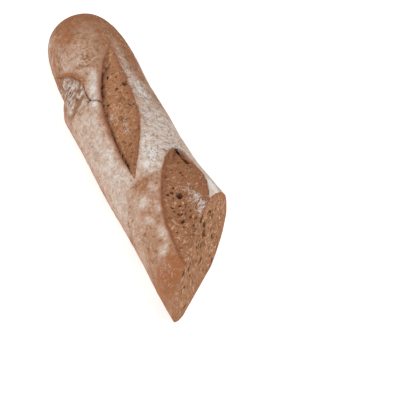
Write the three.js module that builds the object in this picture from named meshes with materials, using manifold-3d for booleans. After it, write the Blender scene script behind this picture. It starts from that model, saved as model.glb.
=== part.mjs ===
// A long country loaf: one rounded end, two slashes across its top, and the other end cut off
// on the bias by a knife. The crust and the crumb are one solid.
//
// Millimetres, +Z up. The loaf lies along X with its round end towards -X. Its origin is in the
// middle of its box on the surface that it lies on. The formulas below use the baker's frame:
// x from the round tip along the loaf, y across it from the middle of its base, z up.

import * as THREE from 'three';
import { ParametricGeometry } from 'three/addons/geometries/ParametricGeometry.js';
import { mergeVertices } from 'three/addons/utils/BufferGeometryUtils.js';
import Module from 'manifold-3d';

// ---------------------------------------------------------------------------------------------
// Driving dimensions
// ---------------------------------------------------------------------------------------------

// The plain form of the loaf
const HEIGHT = 55;
const LEFT_HALF_WIDTH = 37;
const RIGHT_HALF_WIDTH = 39;
const WAIST_HEIGHT = 23; // where the sides bulge furthest
const BASE_SINK = 2; // how far the plain form would reach below the flat base
const TOP_ROUNDNESS = 2.15; // 2 is an ellipse, more is boxier
const BASE_ROUNDNESS = 2.9;

// The round end, whose left side stays a narrow knob up to the torn shoulder
const KNOB_HALF_WIDTH = 29;
const SHOULDER_START = 74;
const SHOULDER_END = 100;
const NOSE_LEFT = 35;
const NOSE_RIGHT = 64;
const NOSE_TOP = 64;
const NOSE_BASE = 34;
const NOSE_TOP_FULLNESS = 2.2;
const TIP_OFFSET = 11.5; // the tip points to the right of the middle
const TIP_REACH = 95;

// The knife cut: a bias cut that leans back where it went through the right of the crown
const CUT_REACH = 304; // where it crosses the middle of the base
const CUT_BIAS = 1; // 45 degrees across the loaf
const CUT_LEAN = 0.17;
const LEAN_START = -18;
const LEAN_WIDTH = 30;

// The two slashes: where each starts, how it slants, and how far its edges opened in the oven
const SLASH_LENGTH = 153;
const SLASH_SLANT = -0.255;
const FIRST_SLASH = { x: 71, y: 18, left: 16.2, leftPeak: 0.8, right: 12, rightPeak: 1.23 };
const SECOND_SLASH = { x: 201, y: 24.4, left: 21.7, leftPeak: 0.8, right: 15.5, rightPeak: 0.76 };
const SLASH_FULL_OPENING = 14;
const FLOOR_DEPTH = 7; // of the first slash, beside its left lip
const LIP_RISE = 2.6;
const LIP_REACH = 7;
const LIP_WALL = 1.4; // how far the steep wall under the lip reaches across
const HEM_RISE = 0.8; // the low edge on the other side
const HEM_REACH = 2.5;

// The second slash opened to a wide flap on the right, torn at its root
const FLAP_START = 209;
const FLAP_END = 262;
const FLAP_WIDTH = 5.2;
const FLAP_WAIST_RISE = 10;
const FLAP_BASE_ROUNDNESS = 2;
const RIM_START = 205;
const RIM_LENGTH = 60;
const RIM_RISE = 6;
const RIM_REACH = 9;
const BLOOM_HOLLOW = 2.2;
const ROOT_TEAR = { x: 212, inset: 3, length: 13, width: 2.2, depth: 3.4 };

// The torn shoulder on the left, and the slow swelling of the dough
const TORN_SHOULDER = { x: 92, y: -31, length: 14, width: 8, depth: 4.2, floor: 4, rise: 16 };
const SWELLS = [
  { height: 0.7, x: 1 / 19, y: 0, phase: 0.6, cross: { y: 1 / 14, z: 1 / 17, phase: 1.1 } },
  { height: 0.45, x: 1 / 11, y: -1 / 9, phase: 2, cross: { y: 0, z: 1 / 12, phase: 2.07 } },
];

// Open bubbles: in the cut face by a seeded draw, and a few in the floors of the slashes
const FACE_BUBBLES = 26;
const FACE_BUBBLE_SEED = 41;
const FACE_MARGIN = 0.86; // keeps the bubbles inside the crust
const BUBBLE_RADIUS = { least: 1.1, spread: 1.5 };
const FLOOR_BUBBLES = [
  { x: 248, y: 7, radius: 2.6 },
  { x: 240, y: -3, radius: 1.5 },
  { x: 262, y: -7, radius: 1.7 },
  { x: 263, y: 6, radius: 1.6 },
  { x: 276, y: 1, radius: 1.8 },
  { x: 150, y: 6, radius: 1.5 },
  { x: 132, y: 8, radius: 1.4 },
  { x: 168, y: -5, radius: 1.4 },
];

// How finely the surface is divided
const COLUMNS = 80;
const CRUST_RINGS = 50;
const FACE_RINGS = 4;
const CROWN_DENSITY = 0.32; // more columns over the crown than under the base
const RING_SPACING_POWER = 1.4; // closer rings at the round end
const LIP_GATHER = 0.6; // more columns beside the first slash's lip
const LIP_GATHER_REACH = 7;
const LIP_SETBACK = 0.4;
const LIP_RETURN = 60; // past the slash, the columns swing back to the middle over this length

// ---------------------------------------------------------------------------------------------
// Small helpers
// ---------------------------------------------------------------------------------------------

const clamp01 = (t) => Math.min(Math.max(t, 0), 1);
const ease = (t) => clamp01(t) ** 2 * (3 - 2 * clamp01(t));
const hill = (distance, reach) => Math.exp(-((distance / reach) ** 2));
const mix = (a, b, t) => a + (b - a) * t;
const spread = (distance, reach, power) => Math.exp(-((Math.max(distance, 0) / reach) ** power));

// How full the round end is at x: 0 at the tip, 1 from `length` on.
function noseFullness(x, length, power = 2) {
  return Math.sqrt(Math.max(0, 1 - (1 - clamp01(x / length)) ** power));
}

// A repeatable stream of numbers from 0 to 1.
function seededRandom(seed) {
  let state = seed;
  return () => {
    state = (state * 1664525 + 1013904223) % 4294967296;
    return state / 4294967296;
  };
}

// ---------------------------------------------------------------------------------------------
// The plain form: a section of superellipse quarters that changes along the loaf
// ---------------------------------------------------------------------------------------------

const flapShare = (x) => clamp01((x - FLAP_START) / (FLAP_END - FLAP_START)) ** 1.2;

function leftHalfWidth(x) {
  const shoulder = ease((x - SHOULDER_START) / (SHOULDER_END - SHOULDER_START));
  return KNOB_HALF_WIDTH * noseFullness(x, NOSE_LEFT) + (LEFT_HALF_WIDTH - KNOB_HALF_WIDTH) * shoulder;
}

function rightHalfWidth(x) {
  return RIGHT_HALF_WIDTH * noseFullness(x, NOSE_RIGHT) + FLAP_WIDTH * flapShare(x);
}

// The quarter of the section at x that a column points into.
function quarter(x, onRight, onTop) {
  const flap = onRight ? flapShare(x) : 0;
  const lift = FLAP_WAIST_RISE * flap;
  const crown = (HEIGHT - WAIST_HEIGHT) * noseFullness(x, NOSE_TOP, NOSE_TOP_FULLNESS) - lift;
  const base = (WAIST_HEIGHT + BASE_SINK) * noseFullness(x, NOSE_BASE, NOSE_TOP_FULLNESS) + lift;
  return {
    middle: TIP_OFFSET * (1 - clamp01(x / TIP_REACH)) ** 2,
    waist: WAIST_HEIGHT + lift,
    halfWidth: Math.max(onRight ? rightHalfWidth(x) : leftHalfWidth(x), 1e-6),
    halfHeight: Math.max(onTop ? crown : base, 1e-6),
    roundness: onTop ? TOP_ROUNDNESS : mix(BASE_ROUNDNESS, FLAP_BASE_ROUNDNESS, flap),
  };
}

// The point of the plain form at x and the angle round the section, with its outward direction.
function plainPoint(x, angle) {
  const across = Math.cos(angle);
  const up = Math.sin(angle);
  const q = quarter(x, across >= 0, up >= 0);
  const side = Math.abs(across) ** (2 / q.roundness);
  const rise = Math.abs(up) ** (2 / q.roundness);
  const slopeY = (Math.sign(across) * side ** (q.roundness - 1)) / q.halfWidth;
  const slopeZ = (Math.sign(up) * rise ** (q.roundness - 1)) / q.halfHeight;
  const length = Math.hypot(slopeY, slopeZ) + 1e-12;
  return {
    y: q.middle + Math.sign(across) * q.halfWidth * side,
    z: q.waist + Math.sign(up) * q.halfHeight * rise,
    outY: slopeY / length,
    outZ: slopeZ / length,
  };
}

// ---------------------------------------------------------------------------------------------
// The relief that stands out of the plain form or is sunk into it
// ---------------------------------------------------------------------------------------------

// The left and right edge of a slash at x. Each edge bows away from the straight stroke of the
// blade as half a sine wave whose peak is moved along by a power.
function slashEdges(x, slash) {
  const along = clamp01((x - slash.x) / SLASH_LENGTH);
  const stroke = slash.y + SLASH_SLANT * (x - slash.x);
  const left = stroke - slash.left * Math.sin(Math.PI * along ** slash.leftPeak);
  const right = stroke + slash.right * Math.sin(Math.PI * along ** slash.rightPeak);
  return { left, right, opening: right - left };
}

// A raised left lip, a steep wall under it, and a floor that climbs back to a low right hem.
function firstSlashRelief(x, y) {
  const edges = slashEdges(x, FIRST_SLASH);
  const inside = y - edges.left;
  const across = clamp01(inside / Math.max(edges.opening, 1e-6));
  const wall = ease((inside + LIP_SETBACK) / LIP_WALL);
  const lip = LIP_RISE * spread(-inside, LIP_REACH, 1.4);
  const floor = -FLOOR_DEPTH * (1 - across) ** 1.5;
  const hem = HEM_RISE * hill(y - edges.right, HEM_REACH);
  return ease(edges.opening / SLASH_FULL_OPENING) * (mix(lip, floor, wall) + hem);
}

// A low left hem, a hollow, and a floor that swells up to the rim of the flap on the right.
function secondSlashRelief(x, y) {
  const edges = slashEdges(x, SECOND_SLASH);
  const inside = y - edges.left;
  const across = clamp01(inside / Math.max(edges.opening, 1e-6));
  const rim = RIM_RISE * ease((x - RIM_START) / RIM_LENGTH);
  let height = rim * spread(y - edges.right, RIM_REACH, 1.6);
  if (inside < 0) {
    height = HEM_RISE * spread(-inside, 4, 1.4);
  } else if (y < edges.right) {
    const step = HEM_RISE * (1 - ease(inside / 1.5)) - 1.6 * ease(inside / 2) * (1 - across);
    height = step - BLOOM_HOLLOW * hill(across - 0.33, 0.17) + rim * across ** 3.5;
  }
  const tear = ROOT_TEAR;
  const tearShape = hill(x - tear.x, tear.length) * hill(y - edges.right + tear.inset, tear.width);
  const opened = ease(edges.opening / SLASH_FULL_OPENING);
  return opened * height - tear.depth * tearShape * ease(edges.opening / 6);
}

function tornShoulderRelief(x, y, z) {
  const t = TORN_SHOULDER;
  return -t.depth * hill(x - t.x, t.length) * hill(y - t.y, t.width) * ease((z - t.floor) / t.rise);
}

function swellRelief(x, y, z) {
  let height = 0;
  for (const swell of SWELLS) {
    const wave = Math.sin(x * swell.x + y * swell.y + swell.phase);
    const cross = Math.sin(y * swell.cross.y + z * swell.cross.z + swell.cross.phase);
    height += swell.height * wave * cross;
  }
  return height;
}

function relief(x, y, z, outZ) {
  const onTop = ease((outZ - 0.05) / 0.3);
  const slashes = firstSlashRelief(x, y) + secondSlashRelief(x, y);
  return onTop * slashes + tornShoulderRelief(x, y, z) + swellRelief(x, y, z);
}

// ---------------------------------------------------------------------------------------------
// The surface: rings of crust that turn from square across the loaf at the tip to the slant of
// the knife, and then rings that close over the cut face
// ---------------------------------------------------------------------------------------------

const leanAt = (y) => CUT_LEAN * ease((y - LEAN_START) / LEAN_WIDTH);
const cutDepth = (y, z) => CUT_BIAS * y + leanAt(y) * z;

// The line over the crown that the middle column follows: it runs to the start of the first
// slash, along its left lip, and then back to the middle.
function lipLine(x) {
  const start = FIRST_SLASH.x;
  const end = start + SLASH_LENGTH;
  const endY = FIRST_SLASH.y + SLASH_SLANT * SLASH_LENGTH;
  if (x < start) return mix(quarter(x, true, true).middle, FIRST_SLASH.y, ease(x / start));
  if (x > end) return mix(endY, 0, ease((x - end) / LIP_RETURN));
  const edges = slashEdges(x, FIRST_SLASH);
  return edges.left - LIP_SETBACK * ease(edges.opening / SLASH_FULL_OPENING);
}

// The angle at which the plain form's crown stands over y.
function crownAngle(x, y) {
  const q = quarter(x, y >= 0, true);
  const offset = clamp01(Math.abs(y - q.middle) / q.halfWidth);
  return Math.acos(Math.sign(y - q.middle) * offset ** (q.roundness / 2));
}

// Swings a column over the crown with the lip line, and gathers the columns beside the lip, so
// that its steep wall has points to stand on.
function gathered(x, angle) {
  if (Math.sin(angle) <= 0) return angle;
  const q = quarter(x, Math.cos(angle) >= 0, true);
  const plainY = plainPoint(x, angle).y;
  const lip = lipLine(x);
  const swing = (lip - q.middle) * (1 - Math.abs(plainY - q.middle) / q.halfWidth);
  const away = plainY + swing - lip;
  const opened = ease(slashEdges(x, FIRST_SLASH).opening / SLASH_FULL_OPENING);
  const reach = LIP_GATHER_REACH;
  if (Math.abs(away) >= reach) return crownAngle(x, lip + away);
  const share = (Math.abs(away) / reach) ** (1 + LIP_GATHER * opened);
  return crownAngle(x, lip + Math.sign(away) * reach * share);
}

// The crust where the ring that would meet the middle of the base at `reach` has this angle.
function crustPoint(reach, columnAngle) {
  const turn = reach / CUT_REACH;
  let x = reach;
  let plain = plainPoint(x, columnAngle);
  let angle = columnAngle;
  for (let pass = 0; pass < 6; pass += 1) {
    angle = gathered(x, columnAngle);
    plain = plainPoint(x, angle);
    x = Math.max(reach - turn * cutDepth(plain.y, plain.z), 0);
  }
  const height = relief(x, plain.y, plain.z, plain.outZ) * ease(x / 40);
  const y = plain.y + plain.outY * height;
  const z = Math.max(plain.z + plain.outZ * height, 0);
  return { x: Math.max(reach - turn * cutDepth(y, z), 0), y, z };
}

// The cut face, drawn in from the crust's last ring by `inward` towards the middle of the crumb.
function cutFacePoint(angle, inward) {
  const rim = crustPoint(CUT_REACH, angle);
  const y = mix(rim.y, 3, inward);
  const z = mix(rim.z, 27, inward);
  return { x: CUT_REACH - cutDepth(y, z), y, z };
}

function surfacePoint(u, v, target) {
  const turn = 2 * Math.PI * u;
  const angle = turn + CROWN_DENSITY * (Math.cos(turn) - 1);
  const ring = Math.round(v * (CRUST_RINGS + FACE_RINGS));
  const along = Math.min(ring / CRUST_RINGS, 1) ** RING_SPACING_POWER;
  const inward = Math.max(ring - CRUST_RINGS, 0) / FACE_RINGS;
  const point = inward > 0 ? cutFacePoint(angle, inward) : crustPoint(CUT_REACH * along, angle);
  target.set(point.x, point.y, point.z);
}

// ---------------------------------------------------------------------------------------------
// Solids: closed meshes whose shared points are merged, cut with manifold-3d
// ---------------------------------------------------------------------------------------------

const wasm = await Module();
wasm.setup();

function solidFrom(geometry) {
  const bare = geometry.clone();
  bare.deleteAttribute('normal');
  bare.deleteAttribute('uv');
  const merged = mergeVertices(bare, 1e-3);
  const index = Array.from(merged.index.array);
  const kept = [];
  for (let i = 0; i < index.length; i += 3) {
    const [a, b, c] = index.slice(i, i + 3);
    if (a !== b && b !== c && c !== a) kept.push(a, b, c);
  }
  return new wasm.Manifold(new wasm.Mesh({
    numProp: 3,
    vertProperties: merged.attributes.position.array,
    triVerts: new Uint32Array(kept),
  }));
}

function geometryFrom(solid) {
  const mesh = solid.getMesh();
  const geometry = new THREE.BufferGeometry();
  geometry.setAttribute('position', new THREE.BufferAttribute(mesh.vertProperties, 3));
  geometry.setIndex(new THREE.BufferAttribute(mesh.triVerts, 1));
  return geometry;
}

// An egg-shaped bubble at a point of the surface, longer upwards than across.
function bubble(x, y, z, radius, tall) {
  const egg = new THREE.IcosahedronGeometry(radius, 1);
  egg.scale(1, 1, tall);
  egg.translate(x, y, z);
  return solidFrom(egg);
}

function faceBubbles() {
  const random = seededRandom(FACE_BUBBLE_SEED);
  const bubbles = [];
  for (let i = 0; i < FACE_BUBBLES; i += 1) {
    const inward = 1 - FACE_MARGIN * Math.sqrt(random());
    const point = cutFacePoint(2 * Math.PI * random(), inward);
    const radius = BUBBLE_RADIUS.least + BUBBLE_RADIUS.spread * random() ** 2;
    bubbles.push(bubble(point.x, point.y, point.z, radius, 1 + random()));
  }
  return bubbles;
}

// The height of the crown at x and y: the plain form there, with its relief.
function crownHeight(x, y) {
  const plain = plainPoint(x, crownAngle(x, y));
  return plain.z + plain.outZ * relief(x, plain.y, plain.z, plain.outZ);
}

function loafSolid() {
  const skin = new ParametricGeometry(surfacePoint, COLUMNS, CRUST_RINGS + FACE_RINGS);
  let solid = solidFrom(skin);
  for (const hole of FLOOR_BUBBLES) {
    const z = crownHeight(hole.x, hole.y);
    solid = solid.subtract(bubble(hole.x, hole.y, z, hole.radius, 1));
  }
  for (const hole of faceBubbles()) {
    solid = solid.subtract(hole);
  }
  return solid;
}

// ---------------------------------------------------------------------------------------------
// The loaf, moved so that its box stands on the origin
// ---------------------------------------------------------------------------------------------

function makeLoaf() {
  const geometry = geometryFrom(loafSolid());
  geometry.computeBoundingBox();
  const { min, max } = geometry.boundingBox;
  geometry.translate(-(min.x + max.x) / 2, -(min.y + max.y) / 2, -min.z);
  const crust = new THREE.MeshStandardMaterial({ color: 0xb98f6d, roughness: 0.9, metalness: 0 });
  const mesh = new THREE.Mesh(geometry, crust);
  mesh.name = 'loaf';
  return mesh;
}

const group = new THREE.Group();
group.add(makeLoaf());

export default group;
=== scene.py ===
# %% [markdown]
# # A country loaf, cut on the bias
#
# A long floury loaf with one round end, two slashes that opened in the oven, and a knife cut at
# the other end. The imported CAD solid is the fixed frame. Here it gets its looks: a skin of crust
# with sharp, undercut slashes, a torn floor in each slash, a face of porous crumb, and flour.
# All shapes are worked out in millimetres in the baker's frame: x along the loaf from its round
# tip, y across it, z up. They are moved to the frame's origin, in metres, when a mesh is made.

import bpy
import numpy as np
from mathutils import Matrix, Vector


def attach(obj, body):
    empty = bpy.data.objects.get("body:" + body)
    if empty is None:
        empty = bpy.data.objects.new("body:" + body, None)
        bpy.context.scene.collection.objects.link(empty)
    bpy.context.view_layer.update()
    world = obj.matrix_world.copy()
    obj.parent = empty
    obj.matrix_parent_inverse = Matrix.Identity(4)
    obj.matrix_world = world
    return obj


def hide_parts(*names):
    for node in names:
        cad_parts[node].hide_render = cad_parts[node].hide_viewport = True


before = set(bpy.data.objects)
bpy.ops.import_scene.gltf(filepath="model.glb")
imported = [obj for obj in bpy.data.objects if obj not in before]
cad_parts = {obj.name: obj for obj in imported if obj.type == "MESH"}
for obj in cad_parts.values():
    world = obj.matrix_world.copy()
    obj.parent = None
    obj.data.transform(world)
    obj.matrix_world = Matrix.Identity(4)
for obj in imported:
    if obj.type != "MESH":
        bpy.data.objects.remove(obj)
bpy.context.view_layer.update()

# %% [markdown]
# ## The camera
#
# The photograph is a product shot from far away, so the loaf shows almost no perspective, and a
# long lens gives the same outline. Where the camera stands was found by fitting the loaf's
# outline: 67 degrees round from its left side towards the cut end, and 45 degrees up.

# %% Camera
TIP_TO_MIDDLE, MIDLINE = 170.598, 2.679  # the frame's origin in the baker's frame, in mm
AIM_X, AIM_Y, AIM_Z = 249.2, 30.04, 23.5
CAMERA_TURN, CAMERA_RISE = np.radians(67.37), np.radians(45.0)
CAMERA_DISTANCE = 1.786
AIM = Vector(((AIM_X - TIP_TO_MIDDLE) / 1000, (AIM_Y - MIDLINE) / 1000, AIM_Z / 1000))

camera_data = bpy.data.cameras.new("camera")
camera_data.lens = 198.0
camera_data.sensor_width = 36.0
camera_data.clip_start = 0.05
camera_data.clip_end = 20.0
camera = bpy.data.objects.new("camera", camera_data)
back = Vector((
    np.sin(CAMERA_TURN) * np.cos(CAMERA_RISE),
    -np.cos(CAMERA_TURN) * np.cos(CAMERA_RISE),
    np.sin(CAMERA_RISE),
))
camera.location = AIM + back * CAMERA_DISTANCE
camera.rotation_mode = "QUATERNION"
camera.rotation_quaternion = (-back).to_track_quat("-Z", "Y")
bpy.context.scene.collection.objects.link(camera)
bpy.context.scene.camera = camera
bpy.context.scene.view_settings.view_transform = "Standard"
bpy.context.scene.view_settings.look = "None"
print("camera at", [round(v, 3) for v in camera.location])

# %% [markdown]
# ## Small numbers and smooth steps
#
# Baked dough has few straight lines. Nearly every form below is a sum of a few soft shapes: an
# eased step, a bell-shaped hill, and a hill that stands at full height up to a distance.


# %% Steps and hills
def clamp01(t):
    return np.clip(t, 0.0, 1.0)


def ease(t):
    """3 t^2 - 2 t^3 between 0 and 1, flat outside."""
    t = clamp01(t)
    return t * t * (3 - 2 * t)


def hill(distance, reach):
    """exp(-(distance / reach)^2)"""
    return np.exp(-((distance / reach) ** 2))


def spread(distance, reach, power):
    """1 up to distance 0, then exp(-(distance / reach)^power)."""
    return np.exp(-((np.maximum(distance, 0) / reach) ** power))


def mix(a, b, t):
    return a + (b - a) * t


# %% [markdown]
# ## Seeded roughness
#
# Crust and crumb are rough at every size from a hair to a finger. The relief is value noise:
# space is cut into cubes, each cube corner gets a height from a scrambled whole number, and the
# heights are blended smoothly across the cube. It works on whole arrays of points at once, and
# it gives the same loaf on every run.


# %% Value noise
def scramble(*whole_numbers):
    """A number from 0 to 1 for each set of whole numbers: multiplied, folded and mixed."""
    total = np.uint64(0)
    for number, prime in zip(whole_numbers, (73856093, 19349663, 83492791, 2654435761)):
        total = total ^ (np.asarray(number).astype(np.int64).astype(np.uint64) * np.uint64(prime))
    total = (total ^ (total >> np.uint64(13))) * np.uint64(1274126177)
    total = (total ^ (total >> np.uint64(16))) * np.uint64(2246822519)
    return ((total ^ (total >> np.uint64(15))) & np.uint64(0xFFFFFF)) / float(0xFFFFFF)


def noise(x, y, z, grain, seed=0):
    """Heights from -1 to 1 that change over about `grain` mm."""
    cells = [np.floor(v / grain).astype(np.int64) for v in (x, y, z)]
    inside = [ease(v / grain - cell) for v, cell in zip((x, y, z), cells)]
    total = 0.0
    for corner in range(8):
        steps = [(corner >> axis) & 1 for axis in range(3)]
        weight = 1.0
        for step, share in zip(steps, inside):
            weight = weight * (share if step else 1 - share)
        total = total + weight * scramble(*[c + s for c, s in zip(cells, steps)], seed)
    return 2 * total - 1


def layered(x, y, z, grain, layers=3, fade=0.5, seed=0):
    """Noise at `grain`, and then at half the size and `fade` times the height, and so on."""
    total = 0.0
    for layer in range(layers):
        total = total + fade**layer * noise(x, y, z, grain / 2**layer, seed + 17 * layer)
    return total / sum(fade**layer for layer in range(layers))


print("noise check:", round(float(noise(*np.ones((3, 1)) * 3.3, 2.0)[0]), 4))

# %% [markdown]
# ## The plain form of the dough
#
# Without its slashes the loaf is a stick whose section is made of four superellipse quarters: a
# domed top and a flatter base, a little wider on the right. The round end is a quarter-ellipse
# in plan and in side view. Its left side stays a narrow knob up to a torn shoulder.

# %% Dimensions of the dough, in mm
HEIGHT, WAIST_HEIGHT, BASE_SINK = 55, 23, 2
LEFT_HALF_WIDTH, RIGHT_HALF_WIDTH, KNOB_HALF_WIDTH = 37, 39, 29
TOP_ROUNDNESS, BASE_ROUNDNESS, FLAP_BASE_ROUNDNESS = 2.15, 2.9, 2
SHOULDER_START, SHOULDER_END = 74, 100
NOSE_LEFT, NOSE_RIGHT, NOSE_TOP, NOSE_BASE, NOSE_TOP_FULLNESS = 35, 64, 64, 34, 2.2
TIP_OFFSET, TIP_REACH = 11.5, 95
FLAP_START, FLAP_END, FLAP_WIDTH, FLAP_WAIST_RISE = 209, 262, 5.2, 10


# %% A point of the plain form
def nose_fullness(x, length, power=2):
    """sqrt(1 - (1 - x / length)^power): 0 at the tip, 1 from `length` on."""
    return np.sqrt(np.maximum(0, 1 - (1 - clamp01(x / length)) ** power))


def flap_share(x):
    return clamp01((x - FLAP_START) / (FLAP_END - FLAP_START)) ** 1.2


def middle_at(x):
    return TIP_OFFSET * (1 - clamp01(x / TIP_REACH)) ** 2


def half_width(x, right):
    """How far the section reaches to that side of its middle."""
    shoulder = ease((x - SHOULDER_START) / (SHOULDER_END - SHOULDER_START))
    knob = KNOB_HALF_WIDTH * nose_fullness(x, NOSE_LEFT)
    left_side = knob + (LEFT_HALF_WIDTH - KNOB_HALF_WIDTH) * shoulder
    right_side = RIGHT_HALF_WIDTH * nose_fullness(x, NOSE_RIGHT) + FLAP_WIDTH * flap_share(x)
    return np.maximum(np.where(right, right_side, left_side), 1e-6)


def plain_point(x, angle):
    """y = middle + w |cos|^(2/n), z = waist + h |sin|^(2/n), and the outward direction there."""
    across, up = np.cos(angle), np.sin(angle)
    flap = np.where(across >= 0, flap_share(x), 0)
    lift = FLAP_WAIST_RISE * flap
    crown = (HEIGHT - WAIST_HEIGHT) * nose_fullness(x, NOSE_TOP, NOSE_TOP_FULLNESS) - lift
    base = (WAIST_HEIGHT + BASE_SINK) * nose_fullness(x, NOSE_BASE, NOSE_TOP_FULLNESS) + lift
    tall = np.maximum(np.where(up >= 0, crown, base), 1e-6)
    power = np.where(up >= 0, TOP_ROUNDNESS, mix(BASE_ROUNDNESS, FLAP_BASE_ROUNDNESS, flap))
    wide = half_width(x, across >= 0)
    side, rise = np.abs(across) ** (2 / power), np.abs(up) ** (2 / power)
    out_y = np.sign(across) * side ** (power - 1) / wide
    out_z = np.sign(up) * rise ** (power - 1) / tall
    length = np.hypot(out_y, out_z) + 1e-12
    y = middle_at(x) + np.sign(across) * wide * side
    z = WAIST_HEIGHT + lift + np.sign(up) * tall * rise
    return y, z, out_y / length, out_z / length


def crown_angle(x, y):
    """The angle at which the crown stands over y: cos = |offset|^(n/2)."""
    offset = y - middle_at(x)
    share = clamp01(np.abs(offset) / half_width(x, offset >= 0))
    return np.arccos(np.sign(offset) * share ** (TOP_ROUNDNESS / 2))


# %% [markdown]
# ## Even steps round the loaf
#
# Equal angles give unequal steps on a superellipse. So the girth is measured once on a table of
# sections, and from then on a place on the loaf is x and a share of the way round: 0 in the
# middle of the base, up the right side, over the crown, and down the left side to 1.

# %% Girth table
TABLE_LENGTH, TABLE_ROWS, TABLE_STEPS = 345, 460, 1441
TABLE_X = TABLE_LENGTH * np.linspace(0, 1, TABLE_ROWS) ** 1.6
TABLE_X[0] = 1e-4
TABLE_ANGLES = np.radians(np.linspace(-90, 270, TABLE_STEPS))
table_y, table_z, _, _ = plain_point(TABLE_X[:, None], TABLE_ANGLES[None, :])
steps = np.hypot(np.diff(table_y), np.diff(np.maximum(table_z, 0)))
girth_so_far = np.concatenate([np.zeros((len(TABLE_X), 1)), np.cumsum(steps, axis=1)], axis=1)
GIRTH = girth_so_far[:, -1]
SHARE_TABLE = girth_so_far / GIRTH[:, None]
EVEN_SHARES = np.linspace(0, 1, TABLE_STEPS)
ANGLE_TABLE = np.array([np.interp(EVEN_SHARES, row, TABLE_ANGLES) for row in SHARE_TABLE])
print("girth at x = 150 mm:", round(float(np.interp(150, TABLE_X, GIRTH)), 1), "mm")


def look_up(table, x, part):
    """Blends the four table entries round (x, part), where part runs from 0 to 1."""
    row = np.interp(x, TABLE_X, np.arange(len(TABLE_X)))
    col = clamp01(part) * (table.shape[1] - 1)
    i = np.minimum(row.astype(int), table.shape[0] - 2)
    j = np.minimum(col.astype(int), table.shape[1] - 2)
    u, v = row - i, col - j
    near = table[i, j] * (1 - v) + table[i, j + 1] * v
    far = table[i + 1, j] * (1 - v) + table[i + 1, j + 1] * v
    return near * (1 - u) + far * u


def share_over(x, y):
    """The share of the girth at which the crown stands over y."""
    angle = crown_angle(x, y)
    return look_up(SHARE_TABLE, x, (angle + np.pi / 2) / (2 * np.pi))


def girth_at(x):
    return np.interp(x, TABLE_X, GIRTH)


# %% [markdown]
# ## The slashes
#
# A blade drew two long strokes at a slant across the crown, and the oven opened them into
# leaves. Each edge bows away from the straight stroke as half a sine wave with its peak moved
# along, and the second slash's left edge has blunter ends. The first slash has a raised left lip
# over a deep floor that climbs to the right. The second one opened into a wide hollow whose right
# rim carries the flap.

# %% Slash edges
SLASH_LENGTH, SLASH_SLANT, FULL_OPENING = 153, -0.255, 14
FIRST = {
    "x": 71, "y": 18, "left": 16.2, "left_peak": 0.8, "right": 12, "right_peak": 1.23, "blunt": 1,
}
SECOND = {
    "x": 201, "y": 24.4, "left": 21.7, "left_peak": 0.8, "right": 15.5, "right_peak": 0.76,
    "blunt": 0.72,
}
FLOOR_DEPTH, LIP_RISE, LIP_REACH, HEM_RISE, HEM_REACH = 4.2, 2.2, 7, 0.8, 2.5
RIM_START, RIM_LENGTH, RIM_RISE, RIM_REACH = 205, 60, 6, 9
HEM_STEP, HOLLOW_DEPTH, HOLLOW_PLACE, HOLLOW_REACH = 1.6, 2.2, 0.33, 0.17
ROOT_TEAR = {"x": 212, "inset": 3, "length": 13, "width": 2.2, "depth": 3.4}
WIDE_GAP = 6  # a slash narrower than this closes up in its floor too
HAIR = 1e-6

WAVER_X = np.arange(0, TABLE_LENGTH + 1, 0.5)
WAVER_LEFT = layered(WAVER_X, 0 * WAVER_X + 1.5, 0 * WAVER_X, 9.0, 3, 0.55, seed=71)
WAVER_RIGHT = layered(WAVER_X, 0 * WAVER_X + 7.5, 0 * WAVER_X, 6.0, 3, 0.6, seed=72)
EDGE_WAVER = 0.9


def slash_edges(x, slash):
    """stroke -+ width sin(pi along^peak): the left edge, the right edge, and how open it is.
    A power below one blunts the left edge's ends. Both edges waver by up to about 0.7 mm."""
    along = clamp01((x - slash["x"]) / SLASH_LENGTH)
    stroke = slash["y"] + SLASH_SLANT * np.clip(x - slash["x"], 0, SLASH_LENGTH)
    bow = np.maximum(np.sin(np.pi * along ** slash["left_peak"]), 0)
    left = stroke - slash["left"] * bow ** slash["blunt"]
    right = stroke + slash["right"] * np.sin(np.pi * along ** slash["right_peak"])
    opened = ease((right - left) / FULL_OPENING)
    left = left + opened * EDGE_WAVER * np.interp(x, WAVER_X, WAVER_LEFT)
    right = right + opened * EDGE_WAVER * np.interp(x, WAVER_X, WAVER_RIGHT)
    return left, right, opened


def rim_rise(x):
    return RIM_RISE * ease((x - RIM_START) / RIM_LENGTH)


def first_floor(x, y):
    """opened * (-depth (1 - across)^1.5 + hem): deep beside the lip, level at the right edge."""
    left, right, opened = slash_edges(x, FIRST)
    across = clamp01((y - left) / np.maximum(right - left, HAIR))
    hem = 0.5 * HEM_RISE * hill(y - right, HEM_REACH)
    return opened * (-FLOOR_DEPTH * (1 - across) ** 1.5 + hem)


def second_floor(x, y):
    """A step down from the left hem, a hollow, and a swell up to the flap's rim, torn at its root."""
    left, right, opened = slash_edges(x, SECOND)
    inside, gap = y - left, right - left
    across = clamp01(inside / np.maximum(gap, HAIR))
    step = HEM_RISE * (1 - ease(inside / 1.5)) - HEM_STEP * ease(inside / 2) * (1 - across)
    hollow = HOLLOW_DEPTH * hill(across - HOLLOW_PLACE, HOLLOW_REACH)
    floor = step - hollow + rim_rise(x) * across**3.5
    tear = ROOT_TEAR
    torn = hill(x - tear["x"], tear["length"]) * hill(y - right + tear["inset"], tear["width"])
    return opened * floor - tear["depth"] * torn * ease(gap / WIDE_GAP)


# %% [markdown]
# ## The relief of the skin
#
# Outside the slashes the skin swells towards their edges, rolls over them in a small radius, and
# waves slowly where the dough rose unevenly. On the left, behind the knob, it tore.

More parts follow.
